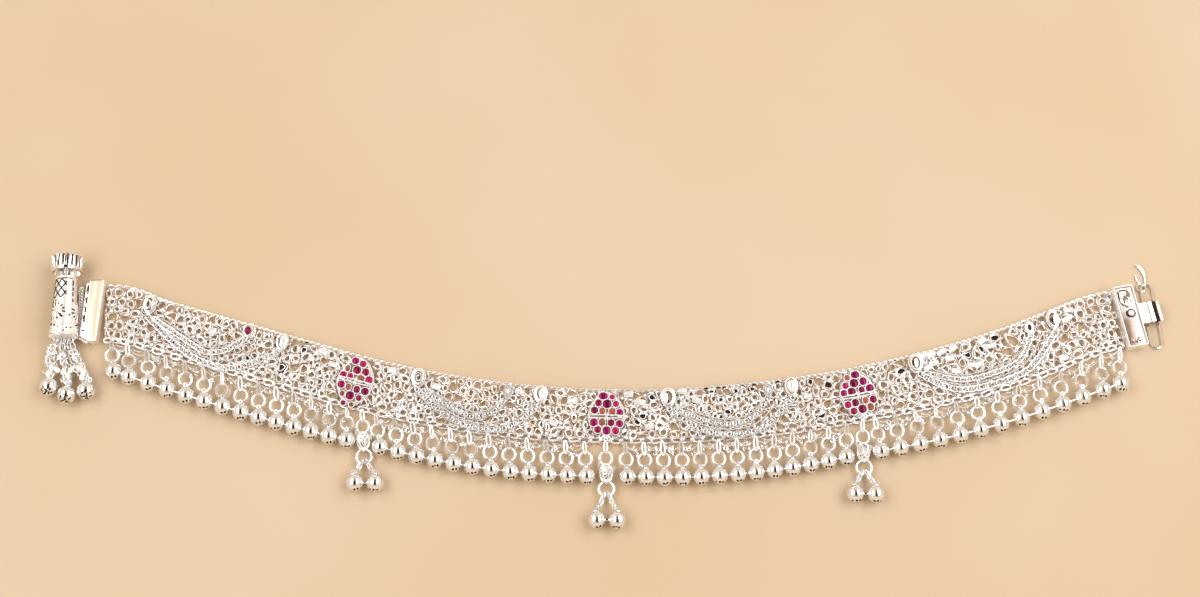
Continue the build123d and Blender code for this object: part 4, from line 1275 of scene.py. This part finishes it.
def engrave_lattice(shape):
    """Crossing lines below the collar, their upper border, and a row of strokes beside them."""
    low, high, pitch = 3.6, 8.4, 1.95
    for k in range(-5, 2):
        for slope in (-0.8, 0.8):
            y = np.linspace(low, high, 15)
            arc = slope * (y - 6.0) + k * pitch - 0.3
            keep = (arc > -8.6) & (arc < 1.3)
            if keep.sum() > 2:
                engraved(shape, np.column_stack([arc, y])[keep], 0.17, OXIDE_AND_SHADE)
    engraved(shape, [(arc, high + 0.15) for arc in np.linspace(-8.6, 2.6, 9)], 0.13, OXIDE_AND_SHADE)
    for y, long in ((7.4, 0.7), (5.9, 0.45), (4.6, 0.5), (3.0, 0.4)):
        engraved(shape, [(2.75, y - long), (2.8, y), (2.75, y + long)], 0.2, OXIDE_AND_SHADE)


def engrave_bursts(shape, rng):
    """Three bursts of raised leaves and cut strokes round the barrel's middle."""
    middle = 0.2
    for centre in (-6.6, -1.1, 4.4):
        for angle in np.arange(0, 360, 30.0) + rng.uniform(-6, 6, 12):
            c, s = math.cos(math.radians(angle)), math.sin(math.radians(angle))
            reach = 2.6 - 0.5 * abs(c)
            leaf = barrel_place(centre + 0.55 * reach * c, middle + 0.62 * reach * s)
            levels = dome(0.2, -0.06, 3, 0.12)
            lump(shape, leaf @ turned(angle - 90, Z), oval(0.3, 0.42 * reach, 16, 1.6), levels)
            swing = math.radians(angle + 15)
            inner, outer = rng.uniform(0.5, 0.9), rng.uniform(0.75, 1.0) * reach
            r = np.linspace(inner, outer, 4)
            stroke = np.column_stack([centre + r * math.cos(swing), middle + r * math.sin(swing)])
            radius = rng.uniform(0.16, 0.26)
            engraved(shape, stroke, radius, SHADE if rng.random() < 0.3 else OXIDE_AND_SHADE)
        lump(shape, barrel_place(centre, middle, 0.02), oval(0.42, 0.42, 12), dome(0.22, -0.1, 3, 0.1))


def make_barrel():
    """The barrel with its collar, diamond lattice, leaf strokes and a grained lower end."""
    shape = Shape(PLATE)
    foot = BARREL_LOW - 0.1
    rows = [(0.05, foot), (2.2, foot), (BARREL_RADIUS_LOW - 0.1, BARREL_LOW + 0.1)]
    rows += [(barrel_radius(y), y) for y in np.linspace(BARREL_LOW + 0.3, BARREL_HIGH - 0.5, 12)]
    rows += [(2.42, 8.7), (2.55, 8.8), (2.55, 9.15), (2.4, 9.3), (1.1, 9.35), (1.1, 8.6)]
    turning = Shape(PLATE)
    lathe(turning, rows, 56)
    shape.stamp(turning, SCREW_LINE)
    engrave_lattice(shape)
    rng = np.random.default_rng(9)
    engrave_bursts(shape, rng)
    for k in range(64):
        arc = rng.uniform(-7.5, 7.5) if k < 30 else rng.uniform(-4.4, -2.7)
        pit = barrel_place(arc, rng.uniform(-4.4, 3.4)) @ turned(rng.uniform(0, 180), Z)
        size = rng.uniform(0.12, 0.22) + 0.1 * (k >= 30)
        lump(shape, pit, oval(size, 2 * size, 9), ((1, 0), (0.8, 0.06), (0.4, 0.07)), OXIDE_AND_SHADE)
    for _ in range(170):
        arc, y = rng.uniform(-7.5, 7.5), BARREL_LOW + 0.1 + 2.4 * rng.random() ** 1.5
        grain = oval(*rng.uniform(0.16, 0.34, 2), 9, turn=rng.uniform(0, 90))
        mark = OXIDE_AND_SHADE if rng.random() < 0.14 else PLATE
        lump(shape, barrel_place(arc, y, -0.05), grain, dome(0.2, -0.1, 3, 0.12), mark)
    for i in range(30):
        spot = SCREW_LINE @ turned(i * 12.0, Z) @ moved(BARREL_RADIUS_LOW - 0.4, 0, BARREL_LOW)
        spot = spot @ moved(0, 0, 0.3 * rng.uniform(-1, 1))
        lump(shape, spot, oval(0.3, 0.34, 9), ((0.5, -0.4), (0.9, -0.2), (1, 0.0), (0.8, 0.15)))
    shape.build("barrel", "silver_satin", "clasp_barrel")


make_barrel()


def make_screw():
    """The screw: broad-fluted head, cupped underneath, on a ribbed neck and a plain shank."""
    shape = Shape(BELL)
    head = Shape(BELL)
    # radius, height above the head's foot
    profile = np.array((
        (0.9, 1.32), (2.65, 1.3), (2.85, 0.95), (3.1, 0.3), (3.2, 0.0), (3.5, 0.0), (3.66, 0.12),
        (3.7, 0.4), (3.7, 0.75), (3.62, 0.85), (3.68, 1.0), (3.68, 3.8), (3.6, 4.02), (3.4, 4.3),
        (3.1, 4.4), (0.6, 4.4), (0.05, 4.4),
    ))
    flutes, segments = 20, 240
    a = np.arange(segments) * FULL / segments
    wave = -0.035 * (1 + np.clip(np.cos(a * flutes) * 2.0, -1, 1))
    swell = np.ones((len(profile), segments))
    swell[9] = 0.98
    for row, share in ((10, 0.9), (11, 1.0), (12, 1.0), (13, 0.4)):
        swell[row] += wave * share
    lathe(head, profile + (0, HEAD_Y), segments, swell)
    neck = np.array((
        (0.05, -12.0), (0.8, -12.0), (1.0, -11.7), (1.0, -1.6), (0.98, -1.5), (0.98, 1.3), (0.05, 1.35),
    ))
    ribbed = np.ones((len(neck), 48))
    ribbed[4:6] = 1 - 0.09 * (np.cos(np.arange(48) * FULL / 8) < 0)
    lathe(head, neck + (0, HEAD_Y), 48, ribbed)
    shape.stamp(head, SCREW_LINE)
    for k in range(flutes):
        groove = SCREW_LINE @ turned(k * 360 / flutes, Z) @ moved(3.42, 0, HEAD_Y + 2.4) @ turned(90, Y)
        lump(shape, groove, oval(1.42, 0.13, 12, 5), ((1, -0.15), (1, 0.08), (0.9, 0.1)), OXIDE_AND_SHADE)
    shape.build("screw", "silver_polished", "clasp_screw", body="screw")


make_screw()


def make_barrel_links():
    """The rod between barrel and plate with a twisted wire on it and three wound collars."""
    shape = Shape(CUP)
    x, z = -6.45, 0.78
    wire(shape, LEFT, spread([(x, -5.4, z), (x, 7.8, z)], 8), 0.4, sides=10)
    y = np.linspace(-5.3, 7.7, 85)
    for phase in (0, math.pi):
        strand = [-5.8 + 0.2 * np.cos(4 * y + phase), y, 1.55 + 0.2 * np.sin(4 * y + phase)]
        wire(shape, LEFT, np.column_stack(strand), 0.17)
    for y in (6.6, 1.2, -4.2):
        for k in (-0.5, 0.0, 0.5):
            hoop(shape, LEFT @ moved(x, y + k, z) @ turned(90, X), (0.5, 0.5, 14), 0.24)
    shape.build("barrel_link_rod", "silver_satin", "barrel_links")


make_barrel_links()

# strands of the tassel in the left clasp's frame: number, the strand's route, the place, turn and
# spin of the bell at its foot, and its drop beads (x, y, turn)
TASSEL = (
    (
        "1", ((-11.1, -5.75), (-12.0, -8.9), (-12.5, -11.9), (-12.4, -14.5)), (-12.3, -17.3, 6, -12),
        ((-11.9, -12.6, 10), (-12.5, -13.9, -20), (-10.6, -13.2, 25)),
    ),
    (
        "2", ((-9.5, -5.75), (-9.5, -9.7), (-8.9, -13.2), (-8.2, -16.8)), (-8.05, -19.6, -8, 10),
        ((-9.0, -13.8, -10), (-8.0, -14.9, 25), (-7.2, -13.4, -30)),
    ),
    (
        "3", ((-7.9, -5.75), (-6.9, -9.4), (-5.3, -12.9), (-3.95, -16.0)), (-3.5, -18.8, -16, 34),
        ((-4.3, -14.0, -5), (-5.4, -13.2, 30), (-4.6, -15.4, 10)),
    ),
)
STRAND_LEVEL = 1.5
# how far each looser chain swings from its strand, and how high it lies above it
SWAYS = (
    (((0.5, -0.1), (1.0, 0.3), (1.2, 0.5), (0.4, 0.2)), 0.45),
    (((-0.2, 0.0), (-0.2, 0.4), (-0.3, 0.9), (-0.2, 1.4)), 0.9),
)
TASSEL_BELL = 4.4
TASSEL_BELL_SLOTS = (
    (-34, -30, 0.50, 0.15, 60), (2, -38, 0.55, 0.17, 115), (34, -34, 0.42, 0.15, 60),
    (-14, -52, 0.46, 0.17, 30), (20, -60, 0.46, 0.17, 70), (-48, -56, 0.40, 0.16, 110),
    (-12, -14, 0.36, 0.13, 80), (50, -58, 0.36, 0.15, 40), (16, -16, 0.26, 0.12, 20),
)


def chainlet(shape, route, level, rng, pitch=0.95, size=1.0):
    """A fine chain of small links along a route of (x, y) in the left clasp's frame."""
    route = spread(rounded(route, 4), 80)
    stops = spread(route, max(3, int(length_of(route) / pitch)))
    ahead = np.gradient(stops, axis=0)
    for i, ((x, y), (dx, dy)) in enumerate(zip(stops, ahead)):
        place = LEFT @ moved(x, y, level + 0.1 * rng.uniform(-1, 1))
        place = place @ turned(math.degrees(math.atan2(dy, dx)) + rng.uniform(-14, 14), Z)
        place = place @ turned((30, -46)[i % 2] + rng.uniform(-14, 14), X)
        hoop(shape, place, (0.74 * size, 0.46 * size, 12), 0.15)


def drop_bead():
    bead = Shape(CUP)
    profile = (
        (0.05, -1.05), (0.42, -0.95), (0.66, -0.6), (0.72, -0.15), (0.55, 0.4), (0.26, 0.85), (0.1, 1.1),
    )
    lathe(bead, profile, 18)
    return bead


def make_strand(rng, key, route, foot, beads):
    """A chained strand with looser chains, loose curls and drop beads, and the bell at its foot."""
    shape = Shape(WIRE)
    route = np.array(route)
    chainlet(shape, route, STRAND_LEVEL, rng)
    side = -1 if key == "3" else 1
    for sway, rise in SWAYS:
        chainlet(shape, route + np.array(sway) * (side, 1), STRAND_LEVEL + rise, rng, 1.5, 1.35)
    for _ in range(9):
        t = rng.uniform(0.25, 0.95)
        x, y = spread(rounded(route, 3), 50)[int(49 * t)] + rng.uniform(-0.9, 0.9, 2)
        place = LEFT @ moved(x, y, 2.3) @ turned(rng.uniform(0, 180), Z) @ turned(rng.uniform(-35, 35), X)
        a = np.linspace(0, rng.uniform(3.5, 5.8), 12)
        wide, long = rng.uniform(0.4, 0.75), rng.uniform(0.7, 1.1)
        curl = np.column_stack([long * np.cos(a), wide * np.sin(a)])
        wire(shape, place, at_level(curl, 0), 0.16)
    for x, y, turn in beads:
        shape.stamp(drop_bead(), LEFT @ moved(x, y, STRAND_LEVEL + 0.9) @ turned(turn, Z) @ HANG)
    x, y, turn, spin = foot
    for k, tip in ((2.6, 40), (3.3, -35)):
        hoop(shape, LEFT @ moved(x + 0.1, y + k, 1.9) @ turned(tip, Y), (0.42, 0.6, 12), 0.18)
    shape.build(f"tassel_chain_{key}", "silver_satin", f"tassel_strand_{key}")
    bell = Shape()
    place = LEFT @ moved(x, y, TASSEL_BELL / 2 + FLANGE_PROUD) @ turned(turn, Z) @ HANG
    bell.stamp(bell_shape(TASSEL_BELL, TASSEL_BELL_SLOTS), place @ turned(spin, Z))
    bell.build(f"tassel_end_bell_{key}", "silver_polished", f"tassel_bell_{key}")


TASSEL_RNG = np.random.default_rng(21)
for row in TASSEL:
    make_strand(TASSEL_RNG, *row)

# ---------------------------------------------------------------- right clasp
RIGHT = at(RIGHT_END)


def dish_silver():
    """Silver of the dished face, with a painted dark reflection along the left side of its lower half."""
    mark, tree, shader = new_finish("dish_silver")
    where = object_point(tree)
    shares = []
    for axis, start, stop in ((X, 1.5, 3.6), (Y, -1.5, 1.6)):
        way = {0: where, 1: RIGHT[:3, axis] / MM}
        along = new_node(tree, "VectorMath", way, operation="DOT_PRODUCT").outputs["Value"]
        zero = float(RIGHT[:3, axis] @ RIGHT[:3, 3])
        shares.append(ranged(tree, along, zero + start, zero + stop, 1.0, 0.0))
    clouds = use_group(
        tree, TARNISH_AND_PAINTED_LOW_REFLECTION, Clean=(0.54, 0.51, 0.48), Tarnish=(0.28, 0.23, 0.19),
        Scale=260.0, Amount=0.9, Smooth=0.25, Rough=0.42,
    )
    # painted dark reflection: darkest where both shares are high, at the left of the lower half
    dark = worked(tree, "MULTIPLY", *shares)
    feed(tree, shader, {
        "Base Color": blended(tree, dark, clouds["Color"], (0.20, 0.13, 0.09)),
        "Roughness": clouds["Roughness"], "Metallic": 0.85,
    })
    return mark


DISH = dish_silver()
# worn leaves in the dish, the darker ones in the grey finish as painted shade: x, y, half width, half
# length, turn, finish
DISH_LEAVES = (
    (1.75, 5.0, 0.42, 1.0, 12, PLATE), (2.55, 4.2, 0.42, 0.95, -35, SHADE),
    (1.55, 3.2, 0.34, 0.85, 35, PLATE), (2.6, 5.6, 0.34, 0.7, -60, PLATE),
    (3.2, 3.4, 0.35, 0.8, -10, PLATE), (2.2, 2.2, 0.3, 0.7, 60, SHADE),
    (3.5, 5.0, 0.3, 0.75, 15, SHADE), (1.6, 1.9, 0.25, 0.5, -20, PLATE),
)
DISH_STROKES = (
    ((1.2, 6.1), (1.05, 4.6), (1.15, 3.0), (1.7, 2.3)),
    ((1.5, 6.2), (2.6, 6.3), (3.5, 5.9), (3.9, 4.9)),
    ((2.2, 4.9), (2.3, 3.8), (2.0, 2.8)),
    ((2.9, 4.6), (3.0, 3.8), (3.9, 3.2)),
    ((2.0, 1.0), (1.7, 0.2), (2.1, -0.5)),
)


def make_right_plate():
    """Rimmed plate with a leaf and a stud in its dished face, and the folded tongue."""
    shape = Shape(PLATE)
    x0, x1, y0, y1, thick = 0.2, 5.0, -8.0, 7.3, 3.3
    levels = ((0.0, 0.0), (0.0, thick - 0.12), (0.08, thick), (0.2, thick), (0.28, thick - 0.6))
    slab(shape, RIGHT, rectangle(x0, x1, y0, y1, 0.3), levels)
    dish = rectangle(x0 + 0.26, x1 - 0.26, y0 + 0.26, y1 - 0.26, 0.5)
    slab(shape, RIGHT, dish, ((0.0, thick - 0.62), (0.1, thick - 0.5), (0.3, thick - 0.46)), DISH)
    face = thick - 0.45
    for x, y, half_x, half_y, turn, mark in DISH_LEAVES:
        place = RIGHT @ moved(x, y, face) @ turned(turn, Z)
        lump(shape, place, oval(half_x, half_y, 18, 1.7), dome(0.28, 0.0, 3, 0.06), mark)
    for points in DISH_STROKES:
        path = spread(rounded(points, 3), 14)
        wire(shape, RIGHT, at_level(path, face + 0.05), 0.13, mark=OXIDE_AND_SHADE, flat=0.5)
    stud = RIGHT @ moved(2.95, 0.3, face)
    lump(shape, stud, oval(0.8, 0.8, 24), dome(0.62, 0.0, 6, 0.1), CUP)
    hoop(shape, stud, (0.98, 0.98, 24), 0.12, 0.08, mark=OXIDE_AND_SHADE)
    rng = np.random.default_rng(3)
    for _ in range(34):
        spot = RIGHT @ moved(rng.uniform(1.3, 4.2), rng.uniform(-7.1, -6.0), face - 0.05)
        grain = oval(*rng.uniform(0.1, 0.24, 2), 8)
        lump(shape, spot, grain, dome(0.18, 0, 2, 0.05), OXIDE_AND_SHADE if rng.random() < 0.25 else PLATE)
    for i, y in enumerate(np.linspace(y0 + 0.5, y1 - 0.4, 15)):
        if abs(y) > 2.8:
            spot = RIGHT @ moved(x1 + 0.05, y, 1.9)
            lump(shape, spot, oval(0.3, 0.34, 10), dome(0.3, 0, 3, 0.4), OXIDE_AND_SHADE if i % 2 else PLATE)
    half, foot, top = 2.55, 1.75, 2.45
    # the tongue, its ridge, its fold and the dark join, these two darkened as painted shade: ends, ease,
    # levels, finish
    for start, stop, ease, levels, mark in (
        (4.6, 7.4, 0.15, ((0.0, foot), (0.0, top - 0.1), (0.1, top)), CUP),
        (7.55, 8.6, 0.15, ((0.0, foot), (0.0, top + 0.1), (0.12, top + 0.22)), CUP),
        (8.6, 9.7, 0.1, ((0.0, foot - 0.2), (0.0, top - 0.12), (0.1, top - 0.08)), OXIDE_AND_SHADE),
        (7.3, 7.65, 0.05, ((0.0, foot), (0.0, top - 0.05), (0.03, top - 0.02)), SHADE),
    ):
        slab(shape, RIGHT, rectangle(start, stop, -half, half, ease), levels, mark)
    curl = Shape(PLATE)
    edges = [(0.05, -half), (0.6, -half), (0.65, -half + 0.08)]
    edges += [(0.65, half - 0.08), (0.6, half), (0.05, half)]
    lathe(curl, edges, 22)
    shape.stamp(curl, RIGHT @ moved(10.0, 0, 1.8) @ turned(-90, X))
    shape.build("right_plate", "silver_polished", "end_plate_right")


make_right_plate()


def make_keeper():
    """Long wire loop under the tongue, with a ring and a ribbon hook at its top."""
    shape = Shape(BELL)
    (ax, ay), (bx, by) = (9.15, 7.6), (7.75, -8.6)
    half = 1.35
    reach = math.hypot(ax - bx, ay - by) / 2 - half
    a = np.linspace(-math.pi / 2, math.pi / 2, 12)
    cap = np.column_stack([reach + half * np.cos(a), half * np.sin(a)])
    loop = spread(np.concatenate([cap, -cap]), 90, True)
    turn = math.degrees(math.atan2(ay - by, ax - bx))
    place = RIGHT @ moved((ax + bx) / 2, (ay + by) / 2, 0.4) @ turned(turn, Z)
    wire(shape, place, at_level(loop, 0), 0.27, True, 8)
    hoop(shape, RIGHT @ moved(8.0, 6.95, 0.4), (1.0, 1.0, 22), 0.25, sides=8)
    hook = spread(rounded([(9.3, 7.9), (9.75, 9.3), (9.7, 10.9), (9.1, 12.3), (8.15, 12.9)], 3), 30)
    width = np.interp(np.linspace(0, 1, 30), (0, 0.35, 0.7, 1), (0.2, 0.3, 0.55, 0.18))
    wire(shape, RIGHT, at_level(hook, 0.4), width, sides=10, flat=0.45)
    lace = spread(rounded([(8.0, 7.9), (7.5, 9.0), (7.5, 10.3)], 3), 18)
    wire(shape, RIGHT, at_level(lace, 0.3), 0.2)
    shape.build("keeper_wire", "silver_satin", "keeper_loop")


make_keeper()


# ---------------------------------------------------------------- floor, light and camera
def make_floor():
    mesh = bpy.data.meshes.new("floor")
    half = 1.2
    corners = [(-half, -half, 0), (half, -half, 0), (half, half, 0), (-half, half, 0)]
    mesh.from_pydata(corners, [], [(0, 1, 2, 3)])
    mark, tree, shader = new_finish("floor_cloth")
    where = object_point(tree)
    broad = ranged(tree, noise(tree, where, 9.0, 3.0, 0.5), 0.35, 0.65, 0.0, 1.0)
    feed(tree, shader, {
        "Base Color": blended(tree, broad, (0.61, 0.485, 0.345), (0.58, 0.445, 0.295)),
        "Roughness": 0.85,
        "Normal": bumped(tree, noise(tree, where, 900.0, 3.0, 0.6), 0.25, 0.0002),
    })
    mesh.materials.append(FINISHES[mark])
    new_object("floor", mesh)


def soft_light(name, place, size, power):
    """A large soft lamp aimed at the origin."""
    data = bpy.data.lights.new(name, "AREA")
    data.shape = "ELLIPSE"
    data.size, data.size_y = size
    data.energy = power
    data.color = (0.92, 0.955, 1.0)
    lamp = new_object(name, data)
    lamp.location = place
    lamp.rotation_euler = (-Vector(place)).to_track_quat("-Z", "Y").to_euler()


def near(tree, value, middle, inner, outer):
    """1 where value is within inner of middle, falling to 0 at outer."""
    away = worked(tree, "ABSOLUTE", worked(tree, "SUBTRACT", value, middle))
    return ranged(tree, away, inner, outer, 1.0, 0.0)


def make_light():
    """A warm soft room with a short dark gap overhead, and a large soft lamp on each side."""
    world = bpy.data.worlds.new("studio")
    world.use_nodes = True
    tree = world.node_tree
    way = new_node(tree, "TexCoord", {}).outputs["Generated"]
    way = new_node(tree, "SeparateXYZ", {"Vector": way}).outputs
    high = ranged(tree, way["Z"], 0.3, 0.8, 0.0, 1.0)
    room = blended(tree, high, (0.84, 0.76, 0.66), (0.74, 0.54, 0.34))
    across, along = near(tree, way["X"], 0.07, 0.19, 0.30), near(tree, way["Y"], -0.12, 0.42, 0.72)
    sky = blended(tree, worked(tree, "MULTIPLY", across, along), room, (0.035, 0.02, 0.012))
    feed(tree, tree.nodes["Background"], {"Color": sky, "Strength": 1.0})
    bpy.context.scene.world = world
    soft_light("key", (0.38, 0.06, 0.50), (0.88, 0.40), 2.95)
    soft_light("fill", (-0.38, 0.02, 0.50), (0.84, 0.38), 2.35)


def make_camera():
    data = bpy.data.cameras.new("camera")
    data.lens = 50.0
    data.sensor_width = 36.0
    data.clip_start = 0.01
    camera = new_object("camera", data)
    camera.location = (-0.001409, -0.114528, 0.379521)
    camera.rotation_euler = (math.radians(20), 0, 0)
    bpy.context.scene.camera = camera


make_floor()
make_light()
make_camera()
bpy.context.scene.view_settings.view_transform = "Standard"
